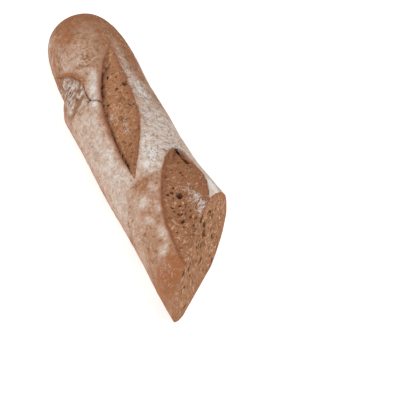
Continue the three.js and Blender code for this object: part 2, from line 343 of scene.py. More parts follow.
# %% Skin relief
LIP_RADIUS, HEM_RADIUS, SECOND_HEM_REACH = 0.9, 0.5, 4
HEM_FALL, RIM_FALL = 1.4, 1.6  # powers: how steeply a swelling ends
BROAD_SWELL, SHORT_SWELL = 0.7, 0.45
TORN = {"x": 92, "y": -31, "length": 14, "width": 8, "depth": 4.2, "floor": 4, "rise": 16}


def rolled_over(distance, radius):
    """How far a rounded edge has dropped at this distance from it: r - sqrt(r^2 - (r - d)^2)."""
    part = 1 - clamp01(distance / radius)
    return radius * (1 - np.sqrt(np.maximum(1 - part**2, 0)))


def skin_relief(x, y):
    """Lip and hem beside the first slash, hem and flap rim beside the second."""
    left, right, opened = slash_edges(x, FIRST)
    on_lip = y < (left + right) / 2
    lip = LIP_RISE * spread(left - y, LIP_REACH, HEM_FALL) - rolled_over(left - y, LIP_RADIUS)
    hem = HEM_RISE * hill(np.maximum(y - right, 0), HEM_REACH) - rolled_over(y - right, HEM_RADIUS)
    height = opened * np.where(on_lip, lip, hem)
    left, right, opened = slash_edges(x, SECOND)
    on_hem = y < (left + right) / 2
    hem = HEM_RISE * spread(left - y, SECOND_HEM_REACH, HEM_FALL)
    hem = hem - rolled_over(left - y, HEM_RADIUS)
    rim = rim_rise(x) * spread(y - right, RIM_REACH, RIM_FALL) - rolled_over(y - right, HEM_RADIUS)
    return height + opened * np.where(on_hem, hem, rim)


def swell_relief(x, y, z):
    """Two products of sine waves, 0.7 mm and 0.45 mm high."""
    broad = np.sin(x / 19 + 0.6) * np.sin(y / 14 + z / 17 + 1.1)
    short = np.sin(x / 11 - y / 9 + 2) * np.sin(z / 12 + 2.07)
    return BROAD_SWELL * broad + SHORT_SWELL * short


def torn_shoulder(x, y, z):
    """The hollow behind the knob, and in it how torn the dough is, from 0 to 1."""
    near = hill(x - TORN["x"], TORN["length"]) * hill(y - TORN["y"], TORN["width"])
    here = near * ease((z - TORN["floor"]) / TORN["rise"])
    return -TORN["depth"] * here, here


# %% [markdown]
# The shoulder tore along a line, with a second crack across it. On the knob's side the skin
# rolls up to a low lip, and on the other side it drops away, lumpy. Past the tear the line runs
# on as a crack. Both lines are given by x and the angle round the loaf, in degrees.

# %% The tear and its cracks
TEAR = [
    (60, 180), (70, 166), (78, 152), (85, 138), (92, 129), (98, 122.5), (105, 120), (111, 122),
    (118, 123), (124.5, 122.5), (129, 115), (134, 111),
]
SPLIT = [(124.5, 122.5), (127, 128), (126, 136), (125, 145), (123, 150), (123, 158), (121, 170)]
MM_PER_DEGREE = 0.58
TEAR_START, TEAR_END, WIDE_END = 62, 150, 101
LUMPS_START, LUMPS_END = 64, 121
TEAR_LIP, TEAR_DROP, CRACK_DEPTH, SPLIT_DEPTH = 0.9, 2.2, 1.5, 1.1
FAR_OFF = 50.0
NO_CRACK = 9.0  # a distance at which the finish shows no crack


def line_distance(u, v, points):
    """The distance from (u, v) to a line drawn through the points."""
    nearest = np.full(np.shape(u), FAR_OFF)
    for (u0, v0), (u1, v1) in zip(points[:-1], points[1:]):
        du, dv = u1 - u0, v1 - v0
        along = clamp01(((u - u0) * du + (v - v0) * dv) / (du * du + dv * dv))
        nearest = np.minimum(nearest, np.hypot(u - u0 - along * du, v - v0 - along * dv))
    return nearest


def tear_relief(x, angle):
    """On the torn side of the tear a drop, on the knob's side a rolled lip, and grooves where it
    runs on as cracks. Also gives the browning, the lumpiness and the distance from a crack or from
    the tear's edge on its torn side, along which the finish paints shade."""
    degrees = np.degrees(angle)
    line_x, line_angle = np.array(TEAR).T
    below = (degrees - np.interp(x, line_x, line_angle)) * MM_PER_DEGREE * 0.8
    here = ease((x - TEAR_START) / 10) * ease((TEAR_END - x) / 10) * ease((185 - degrees) / 12)
    wide = here * (1 - ease((x - WIDE_END) / 10))
    lip = np.where(below < 0, hill(below, 3.0), 1 - ease(below / 1.0))
    drop = ease(below / 1.0) * hill(np.maximum(below, 0), 9)
    scaled = [[(u, v * MM_PER_DEGREE) for u, v in line] for line in (TEAR[6:], SPLIT, TEAR[:7])]
    thin, split, rim = (line_distance(x, degrees * MM_PER_DEGREE, line) for line in scaled)
    crack = np.minimum(thin, split + 0.25)
    height = wide * (TEAR_LIP * lip - TEAR_DROP * drop)
    height = height - CRACK_DEPTH * hill(thin, 1.0) - SPLIT_DEPTH * hill(split, 0.9)
    past = ease((x - LUMPS_START) / 8) * (1 - ease((x - LUMPS_END) / 5))
    past = past * ease((below - 0.3) / 1.5)
    lumpy = past * hill(np.maximum(below - 13, 0), 9)
    brown = wide * hill(below + 0.6, 3.2)
    # the tear's edge on its torn side counts as a crack, so that painted shade falls along it
    crack = np.minimum(crack, np.where(below > -1, rim + 0.35, NO_CRACK))
    return height, brown, lumpy, crack


def grain_relief(x, y, z):
    """Fine unevenness of the skin: 0.25 mm over 7 mm, and 0.12 mm over 2.5 mm."""
    return 0.25 * layered(x, y, z, 7, 2, seed=3) + 0.12 * layered(x, y, z, 2.5, 2, seed=5)


# %% [markdown]
# ## The knife cut
#
# The loaf was cut at 45 degrees across, and the blade leaned back a little where it went through
# the right of the crown. Rings of skin start square at the tip and turn slowly, so that the last
# one lies in the cut.

# %% Knife cut
CUT_REACH, CUT_LEAN, LEAN_START, LEAN_WIDTH = 304, 0.17, -18, 30
TURN_START, TURN_LENGTH = 262, 42


def cut_depth(y, z):
    """How much shorter the loaf is at y and z than in the middle of its base."""
    return y + CUT_LEAN * ease((y - LEAN_START) / LEAN_WIDTH) * z


def ring_x(reach, y, z):
    """Where a ring that meets the middle of the base at `reach` passes y and z."""
    return np.maximum(reach - reach / CUT_REACH * cut_depth(y, z), 0)


def turned(reach):
    """How far the skin's relief is sheared along the knife's plane: 0 before the turn, 1 at it."""
    return ease((reach - TURN_START) / TURN_LENGTH)


# %% [markdown]
# ## Columns that follow the edges
#
# A sharp edge needs a row of vertices along it, or it comes out as a saw. So the columns of the
# skin's grid are held by guide lines: the four slash edges, and a line just outside each.
# Where a slash is closed, its guides drift back to even spacing.

# %% Guide lines
SEGMENT_COLUMNS = [74, 4, 15, 4, 34, 4, 15, 4, 94]
EVEN = np.cumsum([0] + SEGMENT_COLUMNS) / sum(SEGMENT_COLUMNS)
OUTSIDE, MOST_OUTSIDE = 1.3, 0.008
LEAST_GAP = 1.6
FIRST_HELD, SECOND_HELD, LET_GO = (12, 50), (130, 65), (226, 55)  # from x, over what length
BETWEEN = 150


def held_edges(x, slash):
    """The shares of both edges of a slash, held a little apart where it is closed."""
    left, right, _ = slash_edges(x, slash)
    spare = np.maximum(LEAST_GAP - (right - left), 0) / 2
    return share_over(x, right + spare), share_over(x, left - spare)


def guide_lines():
    """One row for each guide, in order round the loaf, over the x of the girth table. The edges
    of the first slash are a (left) and b (right), and those of the second c and d."""
    x, aside = TABLE_X, np.minimum(OUTSIDE / GIRTH, MOST_OUTSIDE)
    b, a = held_edges(np.maximum(x, FIRST["x"]), FIRST)
    d, c = held_edges(np.maximum(x, SECOND["x"]), SECOND)
    first_held, second_held, let_go = (
        ease((x - start) / length) for start, length in (FIRST_HELD, SECOND_HELD, LET_GO)
    )
    b = np.where(x < BETWEEN, mix(EVEN[6], b, first_held), b)
    a = np.where(x < BETWEEN, mix(EVEN[7], a, first_held), a)
    d = mix(b * EVEN[2] / EVEN[6], d, second_held)
    c = mix(b * EVEN[3] / EVEN[6], c, second_held)
    past_b, past_a = (c + (1 - c) * (EVEN[k] - EVEN[3]) / (1 - EVEN[3]) for k in (6, 7))
    b = np.where(x > BETWEEN, mix(b, past_b, let_go), b)
    a = np.where(x > BETWEEN, mix(a, past_a, let_go), a)
    zero = 0 * x
    return np.array([zero, d - aside, d, c, c + aside, b - aside, b, a, a + aside, zero + 1])


GUIDES = guide_lines()
print("guides in order:", bool((np.diff(GUIDES, axis=0) > 0).all()))

# %% [markdown]
# In the two troughs the columns first go down the walls and then cross the bottom. A wall column
# has a place beside its edge, in mm, and a share of the way down. The wall under the raised lip
# turns back under it, which gives the dark line beside the floor.

# %% Columns of the skin
HEM_AWAY, HEM_DOWN = [0.1, 0.15, 0.2, 0.6], [0.25, 0.5, 0.75, 1.0]
LIP_AWAY, LIP_DOWN = [0.12, 0.0, -0.5, -0.9, -0.3], [0.15, 0.38, 0.6, 0.82, 1.0]
STEP_AWAY, STEP_DOWN = [0.1, 0.1, 0.0, -0.1, 0.2], [0.15, 0.38, 0.6, 0.82, 1.0]
TROUGHS = ((2, SECOND, STEP_AWAY, STEP_DOWN), (6, FIRST, LIP_AWAY, LIP_DOWN))
HEM_COLUMNS, FLAT_COLUMNS = len(HEM_AWAY), 5
LIP_START = HEM_COLUMNS + FLAT_COLUMNS
SEGMENTS = len(SEGMENT_COLUMNS)
column_segment = np.repeat(np.arange(SEGMENTS), SEGMENT_COLUMNS)
column_part = np.concatenate([np.arange(n) / n for n in SEGMENT_COLUMNS])
COLUMNS = len(column_part)


def trough_columns(segment, end_away, end_down):
    """The inner columns of a trough: which they are, how far from their edge, and how far down."""
    inner = np.flatnonzero(column_segment == segment)[1:]
    away = np.array(HEM_AWAY + [0] * FLAT_COLUMNS + end_away[::-1])
    down = np.array(HEM_DOWN + [1] * FLAT_COLUMNS + end_down[::-1])
    return inner, away, down


def column_shares(x):
    """Each column's share of the girth at its own x, with the walls of the troughs drawn in."""
    low = np.empty_like(x)
    high = np.empty_like(x)
    for k in range(SEGMENTS):
        at = column_segment == k
        low[:, at] = np.interp(x[:, at], TABLE_X, GUIDES[k])
        high[:, at] = np.interp(x[:, at], TABLE_X, GUIDES[k + 1])
    share = mix(low, high, column_part[None, :])
    for segment, slash, end_away, end_down in TROUGHS:
        at, away, _ = trough_columns(segment, end_away, end_down)
        xs = x[:, at]
        left, right, _ = slash_edges(xs, slash)
        opened = ease((right - left) / WIDE_GAP)
        start = low[:, at] + away[None, :] / girth_at(xs)
        end = high[:, at] - away[None, :] / girth_at(xs)
        hem_foot, lip_foot = start[:, HEM_COLUMNS - 1, None], end[:, LIP_START, None]
        across = np.linspace(0, 1, FLAT_COLUMNS + 2)[None, 1:-1]
        flat = mix(hem_foot, lip_foot, across)
        wanted = np.concatenate([start[:, :HEM_COLUMNS], flat, end[:, LIP_START:]], axis=1)
        share[:, at] = mix(share[:, at], wanted, opened)
    return share


# %% [markdown]
# ## Bubbles
#
# Where the dough tore, its bubbles lie open. A bubble is a bowl: radius * (1 - (d / radius)^2)
# deep, measured on points that noise has pushed about, so that its rim comes out ragged.

# %% Bubbles
WARPS = ((0.8, 2.3, 0), (0.45, 1.1, 5))  # how far, over what grain, and a step of the seed
DRAWN_OUT = (-0.45, 0.4)
BUBBLE_SEARCH = 2.5  # in radii


def warped(points, seed):
    """The points pushed about by noise, so that round bubbles measured on them come out torn."""
    place = np.moveaxis(points, -1, 0)
    push = [
        sum(far * noise(*place, grain, seed + step + k) for far, grain, step in WARPS)
        for k in range(3)
    ]
    return points + np.stack(push, axis=-1)


def bowls(points, centres, radii, stretch=(1, 1, 1)):
    """How deep the deepest bubble is at each point; each is radius * (1 - (d / radius)^2), and
    each is drawn out or squeezed along x, y and z by up to half."""
    depth = np.zeros(points.shape[:-1])
    shapes = np.exp(np.random.default_rng(len(radii)).uniform(*DRAWN_OUT, (len(radii), 3)))
    for centre, radius, shape in zip(centres, radii, shapes):
        near = np.abs(points[..., 0] - centre[0]) < BUBBLE_SEARCH * radius
        apart = (points[near] - centre) / (radius * shape * np.asarray(stretch))
        bowl = radius * clamp01(1 - (apart**2).sum(axis=-1))
        depth[near] = np.maximum(depth[near], bowl)
    return depth


def on_crown(x, y):
    """The point of the plain crown over x and y."""
    x, y = np.broadcast_arrays(np.asarray(x, float), np.asarray(y, float))
    new_y, z, _, _ = plain_point(x, crown_angle(x, y))
    return np.stack([x, new_y, z], axis=-1)


def around_loaf(x, degrees):
    """The points of the plain form at these places and angles."""
    new_y, z, _, _ = plain_point(x, np.radians(degrees))
    return np.stack([x, new_y, z], axis=-1)


SKIN_PITS = [  # x, angle, radius
    (88, 163, 1.4), (97.5, 149, 1.7), (96, 157, 1.4), (103, 143, 1.2), (90, 150, 1.1), (108, 136, 1.2),
    (115, 150, 1.1), (221, 128, 1.0), (104, 132, 1.1),
]

# %% [markdown]
# ## The skin as one closed surface
#
# The skin is a tube of rings with a point at the round tip. Behind the knife cut it turns in for
# a millimetre, so that its thickness shows, and goes back into a pocket that holds the crumb.
# A real crust is one with its crumb, but two surfaces can each be as fine as they need to be.

# %% Rings of the skin
RINGS = 372
TROUGH_DEPTH, TROUGH_SETBACK, SETBACK_START = 4.6, 4.0, 285
LUMP_HEIGHT, SKIN_PIT_DEPTH = 1.6, 0.9
SETTLING_ROUNDS = 7


def ring_reach(t):
    """304 * 1.06 t^2 / (t + 0.06): millimetre steps that shrink towards the tip."""
    return CUT_REACH * 1.06 * t * t / (t + 0.06)


def facing_up(out_z):
    return ease((out_z - 0.05) / 0.3)


def skin_points(reach):
    """The place of every skin vertex, and what the masks need to know about it."""
    x = reach + np.zeros((1, COLUMNS))
    for _ in range(SETTLING_ROUNDS):
        share = column_shares(x)
        angle = look_up(ANGLE_TABLE, x, share)
        y, z, out_y, out_z = plain_point(x, angle)
        x = ring_x(reach, y, z)
    hollow, torn = torn_shoulder(x, y, z)
    on_top = facing_up(out_z)
    height = on_top * skin_relief(x, y)
    sunk = np.zeros_like(x)
    for segment, slash, end_away, end_down in TROUGHS:
        at, _, down = trough_columns(segment, end_away, end_down)
        xs, ys = x[:, at], y[:, at]
        left, right, opened = slash_edges(xs, slash)
        wide = ease((right - left) / WIDE_GAP)
        first = slash is FIRST
        high = opened * (LIP_RISE - LIP_RADIUS if first else HEM_RISE - HEM_RADIUS)
        low = opened * (HEM_RISE - HEM_RADIUS if first else rim_rise(xs) - HEM_RADIUS)
        edge = np.where(np.arange(len(down)) >= len(down) / 2, high, low)
        floor = (first_floor if first else second_floor)(xs, ys) - TROUGH_DEPTH
        height[:, at] = mix(height[:, at], mix(edge, floor, down[None, :]), wide)
        sunk[:, at] = wide * down[None, :]
    tear, burnt, lumpy, crack = tear_relief(x, angle)
    lumps = layered(x, y, z, 3.2, 2, 0.7, seed=12)
    rough = torn * layered(x, y, z, 4.5, 3, 0.6, seed=11) + LUMP_HEIGHT * lumpy * lumps
    pit_x, pit_angle, pit_radius = np.transpose(SKIN_PITS)
    plain = np.stack([x, y, z], axis=-1)
    pit = bowls(warped(plain, 13), around_loaf(pit_x, pit_angle), pit_radius)
    height = height + hollow + rough + on_top * tear + swell_relief(x, y, z) - SKIN_PIT_DEPTH * pit
    height = (height + grain_relief(x, y, z) * (1 - sunk)) * ease(x / 40)
    new_y, new_z = y + out_y * height, np.maximum(z + out_z * height, 0)
    new_x = mix(x, ring_x(reach, new_y, new_z), turned(reach))
    facts = {
        "x": x, "y": y, "z": z, "angle": angle, "sunk": sunk, "down": -out_z, "torn": lumpy,
        "lumps": lumpy * ease((lumps + 0.12) / 0.3), "burnt": burnt, "crack": crack,
        "pit": clamp01(pit / 1.1),
    }
    return np.stack([new_x, new_y, new_z], axis=-1), facts


reach = ring_reach(np.linspace(0, 1, RINGS + 1)[1:])[:, None]
skin, facts = skin_points(reach)
set_back = ease((reach - SETBACK_START) / (CUT_REACH - SETBACK_START))
set_back = TROUGH_SETBACK * facts["sunk"] * set_back
skin[..., 0] -= set_back
print("skin grid:", skin.shape, "reaches", skin[..., 0].max().round(2), "mm")


# %% The crust's thickness and the pocket behind the cut
CRUST_SHOWN = 0.9
CUT_MIDDLE = (3.0, 27.0)
RIM_PLACES = [  # how far in from the skin, and how far behind the knife
    (0.03, 0.02), (CRUST_SHOWN * 0.5, 0.16), (CRUST_SHOWN, 0.2), (CRUST_SHOWN + 0.1, 3.0),
]
POCKET_INSET, POCKET_DEPTH = 9.0, 14.0


def face_point(y, z, behind):
    """The point of the knife's plane at y and z, moved back along x by `behind`."""
    return np.stack([CUT_REACH - cut_depth(y, z) - behind, y, z], axis=-1)


def toward_middle(y, z, inset):
    """The places y and z moved towards the middle of the cut by `inset`."""
    dy, dz = CUT_MIDDLE[0] - y, CUT_MIDDLE[1] - z
    length = np.hypot(dy, dz)
    return y + dy / length * inset, z + dz / length * inset


_, last_y, last_z = skin[-1].T
rim_rings = [
    face_point(*toward_middle(last_y, last_z, inset), behind + set_back[-1])
    for inset, behind in RIM_PLACES
]
rim_rings.append(face_point(*toward_middle(last_y, last_z, POCKET_INSET), POCKET_DEPTH))
crust_rings = np.concatenate([skin, np.array(rim_rings)])
print("crust rings:", crust_rings.shape)

# %% [markdown]
# ## From rings to a mesh
#
# Every piece here is a tube of rings that closes in a point at each end. One helper turns such a
# stack of rings into a mesh: four-sided faces between the rings, a fan of triangles at each end,
# a flat map of it for baking, and the masks that the finishes read. A floor slab closes in a strip
# at each end. The helper checks the volume that the faces enclose and turns them round if it comes
# out negative, so that they all point outwards.


# %% Mesh helper
def to_frame(points):
    """Baker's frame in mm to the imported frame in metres."""
    return (points - np.array([TIP_TO_MIDDLE, MIDLINE, 0.0])) / 1000


def map_lines(rings):
    """Even map lines: the mean distance from ring to ring and from column to column."""
    around = np.linalg.norm(np.roll(rings, -1, axis=1) - rings, axis=2).mean(axis=0)
    along = np.linalg.norm(np.diff(rings, axis=0), axis=2).mean(axis=1)
    u = np.concatenate([[0], np.cumsum(around)]) / around.sum()
    v = np.concatenate([[0, 1], 1 + np.cumsum(along), [2 + along.sum()]])
    return 0.002 + 0.996 * u, 0.002 + 0.996 * v / v[-1]


def enclosed_volume(points, corners):
    a, b, c = (points[corners[:, k]] for k in range(3))
    return float(np.einsum("ij,ij->i", a, np.cross(b, c)).sum() / 6)


def strip_cap(top, columns):
    """Triangles that close a flat ring: its first `top` columns against the ones underneath."""
    under = columns - top
    k = np.arange(top - 1)
    below = columns - 1 - np.round(np.arange(top) * (under - 1) / (top - 1)).astype(int)
    first = np.stack([k, k + 1, below[:-1]], -1)
    second = np.stack([k + 1, below[1:], below[:-1]], -1)[below[1:] != below[:-1]]
    return np.concatenate([first, second])


def new_piece(name, points, loops, maps, masks=None, smooth=True):
    """An object from points, arrays of faces with equally many corners, and their flat maps."""
    sizes = np.concatenate([np.full(len(part), part.shape[1]) for part in loops])
    flat = np.concatenate([part.reshape(-1) for part in loops])
    flat_map = np.concatenate([part.reshape(-1) for part in maps])
    starts = np.concatenate([[0], np.cumsum(sizes)[:-1]])
    mesh = bpy.data.meshes.new(name)
    mesh.vertices.add(len(points))
    mesh.vertices.foreach_set("co", to_frame(points).reshape(-1))
    mesh.loops.add(len(flat))
    mesh.loops.foreach_set("vertex_index", flat.astype(np.int32))
    mesh.polygons.add(len(sizes))
    mesh.polygons.foreach_set("loop_start", starts.astype(np.int32))
    mesh.polygons.foreach_set("use_smooth", np.full(len(sizes), smooth))
    mesh.uv_layers.new(name="OFBake").uv.foreach_set("vector", flat_map.astype(np.float32))
    for mask, values in (masks or {}).items():
        attribute = mesh.attributes.new(mask, "FLOAT", "POINT")
        attribute.data.foreach_set("value", values.astype(np.float32))
    mesh.update(calc_edges=True)
    mesh.validate()
    piece = bpy.data.objects.new(name, mesh)
    bpy.context.scene.collection.objects.link(piece)
    return piece


def closed_tube(name, rings, ends, masks, top=0):
    """A mesh object from (rings, columns, 3) points and masks on that grid. Each end closes in a
    point of `ends`, or, for a flat slab with `top` columns on top, in a strip."""
    count, columns = rings.shape[:2]
    points = np.concatenate([[ends[0]], rings.reshape(-1, 3), [ends[1]]])
    masks = {
        mask: np.concatenate([[grid[0].mean()], grid.reshape(-1), [grid[-1].mean()]])
        for mask, grid in masks.items()
    }
    i, j = np.meshgrid(np.arange(count - 1), np.arange(columns), indexing="ij")
    here, there, k = i * columns + 1, (i + 1) * columns + 1, (j + 1) % columns
    quads = np.stack([here + j, here + k, there + k, there + j], -1).reshape(-1, 4)
    u, v = map_lines(rings)
    corners = ((j, i + 1), (j + 1, i + 1), (j + 1, i + 2), (j, i + 2))
    quad_map = np.stack([np.stack([u[col], v[row]], -1) for col, row in corners], 2)
    quad_map = quad_map.reshape(-1, 4, 2)
    base = (count - 1) * columns + 1
    if top:
        cap = strip_cap(top, columns)
        points, quads, base = points[1:-1], quads - 1, base - 1
        masks = {mask: values[1:-1] for mask, values in masks.items()}
        tip, end = cap[:, ::-1], base + cap
        tip_map = np.stack([u[tip], v[0] + (v[1] - v[0]) * (tip < top)], -1)
        end_map = np.stack([u[cap], v[-1] + (v[-2] - v[-1]) * (cap < top)], -1)
    else:
        j = np.arange(columns)
        k, zero = (j + 1) % columns, 0 * j
        tip = np.stack([zero, k + 1, j + 1], -1)
        end = np.stack([zero + len(points) - 1, base + j, base + k], -1)
        centre = (u[:-1] + u[1:]) / 2
        tip_v, end_v = (
            np.stack([v[pole] + zero, v[ring] + zero, v[ring] + zero], -1)
            for pole, ring in ((0, 1), (-1, -2))
        )
        tip_map = np.stack([np.stack([centre, u[j + 1], u[j]], -1), tip_v], -1)
        end_map = np.stack([np.stack([centre, u[j], u[j + 1]], -1), end_v], -1)
    triangles = np.concatenate([quads[:, [0, 1, 2]], quads[:, [0, 2, 3]], tip, end])
    loops, maps = [quads, tip, end], [quad_map, tip_map, end_map]
    volume = enclosed_volume(points, triangles)
    if volume < 0:
        loops, maps = ([part[:, ::-1] for part in parts] for parts in (loops, maps))
    print(name, "triangles:", len(triangles), "volume in ml:", round(abs(volume) / 1000, 1))
    return new_piece(name, points, loops, maps, masks)


# %% [markdown]
# ## Where the crust is browned and where flour lies
#
# Flour dusted on the dough stays where the skin stretched little, in soft patches: heavy beside
# the slashes, thin on the knob, and nearly gone on the round end. Each patch is a hill over x
# and the angle round the loaf. Together they cover 1 - product(1 - patch). The finish breaks
# this smooth cover up into specks.

# %% Masks of the skin
DUSTINGS = [  # x, angle, reach in x, reach in degrees, amount
    (130, 59, 20, 12, 0.85), (110, 64, 10, 7, 0.45), (165, 50, 26, 15, 0.75), (160, 70, 20, 10, 0.7),
    (195, 62, 22, 18, 0.8), (205, 90, 18, 16, 0.9), (188, 84, 14, 12, 0.7), (216, 100, 10, 14, 0.9),
    (190, 30, 48, 14, 0.6), (86, 60, 18, 8, 0.36), (120, 42, 18, 10, 0.15), (222, 45, 18, 12, 0.85),
    (255, 50, 26, 18, 1.0), (285, 42, 24, 24, 1.0), (116, 109, 13, 9, 0.95), (103, 101, 8, 6, 0.6),
    (132, 120, 8, 7, 0.95), (100, 130, 9, 8, 0.5), (95, 143, 8, 8, 0.5), (195, 140, 28, 20, 0.5),
    (165, 150, 36, 26, 0.46), (145, 138, 18, 16, 0.46), (172, 138, 16, 12, 0.2),
    (215, 128, 12, 14, 0.6), (225, 160, 24, 18, 0.3), (240, 108, 7, 6, 0.6), (248, 127, 5, 9, 0.7),
    (262, 112, 7, 6, 0.4), (268, 131, 6, 7, 0.45), (284, 122, 7, 9, 0.5), (298, 136, 5, 10, 0.75),
    (28, 152, 14, 15, 0.4), (66, 142, 14, 16, 0.42), (80, 112, 16, 12, 0.34), (250, 138, 32, 26, 0.22),
    (150, 174, 40, 14, 0.42), (225, 172, 40, 14, 0.34), (45, 175, 20, 14, 0.3),
]
BROWNED = [
    (4, 90, 30, 400, 0.95), (24, 142, 20, 22, 0.6), (28, 100, 16, 34, 0.5), (30, 170, 26, 14, 0.6),
    (62, 172, 24, 12, 0.5), (48, 122, 13, 18, 0.35), (46, 36, 44, 26, 0.85), (104, 40, 22, 12, 0.6),
    (72, 70, 30, 12, 0.55), (321, 138, 21, 90, 0.92), (98, 46, 16, 9, 0.3), (255, 122, 40, 26, 0.6),
    (112, 172, 18, 9, 0.85), (226, 112, 14, 16, 0.12), (232, 122, 8, 8, 0.4), (140, 34, 20, 9, 0.5),
]
STREAKED = [
    (140, 60, 40, 24, 1.0), (205, 78, 34, 26, 1.0), (180, 142, 50, 24, 0.28), (60, 110, 50, 50, 0.3),
    (92, 46, 34, 26, 1.0),
]
RED_SPOTS = [
    (57, 108, 1.6, 2.8, 0.8), (281, 122, 2.2, 3.5, 0.9), (262, 110, 1.6, 2.5, 0.5),
    (98, 106, 1.5, 2, 0.5), (319, 136, 17, 44, 0.22),
]
BARE_STRIP, STRIP_FADE, STRIP_ANGLE, STRIP_REACH = (223, 236), 8, 98, 24
FLAP_RIM_START = 222


def patches(spots, x, degrees):
    """1 - product over the spots of (1 - amount * hill)."""
    bare = 1.0
    for spot_x, spot_angle, reach_x, reach_angle, amount in spots:
        spot = amount * hill(x - spot_x, reach_x) * hill(degrees - spot_angle, reach_angle)
        bare = bare * (1 - spot)
    return 1 - bare


def skin_masks(facts):
    """Flour, browning, rolled edges, the flat sole and the torn shoulder, each from 0 to 1. A
    bare strip crosses the flour behind the second slash, and the flap's rim isn't redder."""
    x, y, degrees = facts["x"], facts["y"], np.degrees(facts["angle"])
    top = facts["down"] < 0
    strip = 0.7 * ease((x - BARE_STRIP[0]) / STRIP_FADE) * hill(degrees - STRIP_ANGLE, STRIP_REACH)
    flour = patches(DUSTINGS, x, degrees) * (1 - strip * ease((BARE_STRIP[1] - x) / STRIP_FADE))
    browned = 1 - (1 - patches(BROWNED, x, degrees)) * (1 - facts["burnt"])
    edge = 0
    first_reach = mix(3.2, 1.5, ease((x - 105) / 30))
    for slash, lip_reach, hem_reach in ((FIRST, first_reach, 0.8), (SECOND, 1.3, 0.7)):
        left, right, opened = slash_edges(x, slash)
        beside = hill(np.maximum(left - y, 0), lip_reach) * (y < (left + right) / 2)
        rim = 1 - 0.85 * (slash is SECOND) * ease((x - FLAP_RIM_START) / 12)
        beside = beside + rim * hill(np.maximum(y - right, 0), hem_reach) * (y >= (left + right) / 2)
        edge = np.maximum(edge, opened * beside * top)
    sole = ease((facts["down"] - 0.55) / 0.35) * ease((4 - facts["z"]) / 3)
    flour = flour * (1 - 0.85 * edge) * (1 - sole) * (1 - facts["burnt"])
    named = {"flour": flour, "browned": browned, "edge": edge, "sole": sole}
    named["red"] = patches(RED_SPOTS, x, degrees)
    named["streaked"] = patches(STREAKED, x, degrees)
    return {**named, **{name: facts[name] for name in ("torn", "lumps", "crack", "pit")}}


masks = skin_masks(facts)
rim_masks = {"browned": 0.75, "edge": 0.5, "crack": NO_CRACK}
crust_masks = {
    name: np.concatenate([grid, np.full((len(rim_rings), COLUMNS), rim_masks.get(name, 0.0))])
    for name, grid in masks.items()
}
tip = np.array([0.0, middle_at(0.0), WAIST_HEIGHT])
pocket = crust_rings[-1].mean(axis=0)
crust = closed_tube("crust", crust_rings, (tip, pocket), crust_masks)

# %% [markdown]
# ## The torn floors of the slashes
#
# Where the crust opened, crumb dough was laid bare and baked into a rough brown floor with open
# bubbles. Each floor is a slab of its own. It is tucked under the lip on its left and under
# the hem on its right, so no gap shows.

# %% Holes of the floors
FIRST_HOLES = [  # x, y, radius
    (93, 16, 1.0), (109, 8, 1.0), (120, 11, 1.5), (123, 3, 1.3), (130, 9, 1.1), (136, -10, 1.3),
    (145, 6, 1.4), (106, 1.5, 1.2), (101, 5, 0.9), (158, -15, 1.0), (199, -15, 0.9), (196, -12, 0.8),
    (113, 13, 0.8), (128, 4.5, 0.8), (140, 1, 0.7), (165, -2, 0.8), (172, -5, 0.9), (183, -13, 0.8),
]
FIRST_CAVES = [(94, 128, 1.1), (156, 176, 0.6)]  # from x, to x, depth
ROOT_SLITS = [  # lines of (x, y), width, depth
    ([(253.6, 4.3), (255.2, 4.6)], 1.9, 2.4),
    ([(200, 23.0), (204, 25.2), (208, 26.9), (213.5, 29.2)], 1.7, 2.9),
    ([(205, 21.8), (209, 23.4), (213, 25.4), (218, 27.0)], 0.8, 2.0),
]
SECOND_HOLES = [
    (231.6, 14.5, 1.3), (239, 14.5, 0.9), (244, 3, 1.1), (250, -4, 1.3), (264, -6.4, 1.4),
    (264.5, 0.5, 1.2), (273, -2, 1.3), (275.5, 0, 1.0), (274.5, 4.6, 1.0), (281.5, -4.3, 1.6),
    (280, 2.3, 1.1), (291, 0.3, 1.1), (287, -6, 0.9), (284, 5, 1.0), (266, 8, 0.7), (237, 4, 0.6),
    (290, -13, 1.2),
]


def scattered_holes(seed, count, x_range, y_range, radius_range):
    """A seeded draw of (x, y, radius), with far more small bubbles than large ones."""
    draw = np.random.default_rng(seed)
    x = draw.uniform(*x_range, count)
    y = draw.uniform(*y_range, count)
    radius = mix(radius_range[0], radius_range[1], draw.uniform(0, 1, count) ** 3)
    return np.stack([x, y, radius], axis=-1)


# %% A floor slab
EDGE_TUCK, HOLE_SIZE, HOLE_STRETCH, PIT_DEPTH = 0.35, 1.15, (1.3, 1, 1), 1.35
TORN_HEIGHT, FOLD_HEIGHT, CLOSED_DROP, RIGHT_DROP = 0.75, 0.4, 1.5, 1.3
THIN, THICK, LEAST_THICKNESS = 1.15, 2.4, 0.3  # at the knife, elsewhere, and under a hole
UNDER_COLUMNS = 8


def caves_and_slits(x, y, left, z, caves, slits):
    """Ragged hollows under the lip, broken up by noise, and long narrow tears in the floor."""
    depth = np.zeros_like(x)
    broken = 0.45 + 0.55 * ease((layered(x, y, z, 3.0, 2, 0.6, seed=91) + 0.12) / 0.5)
    for start, end, deep in caves:
        along = ease((x - start) / 5) * ease((end - x) / 5)
        depth = np.maximum(depth, deep * along * broken * hill(y - left - 0.3, 1.3))
    for line, width, deep in slits:
        depth = np.maximum(depth, deep * hill(line_distance(x, y, line), width))
    return depth


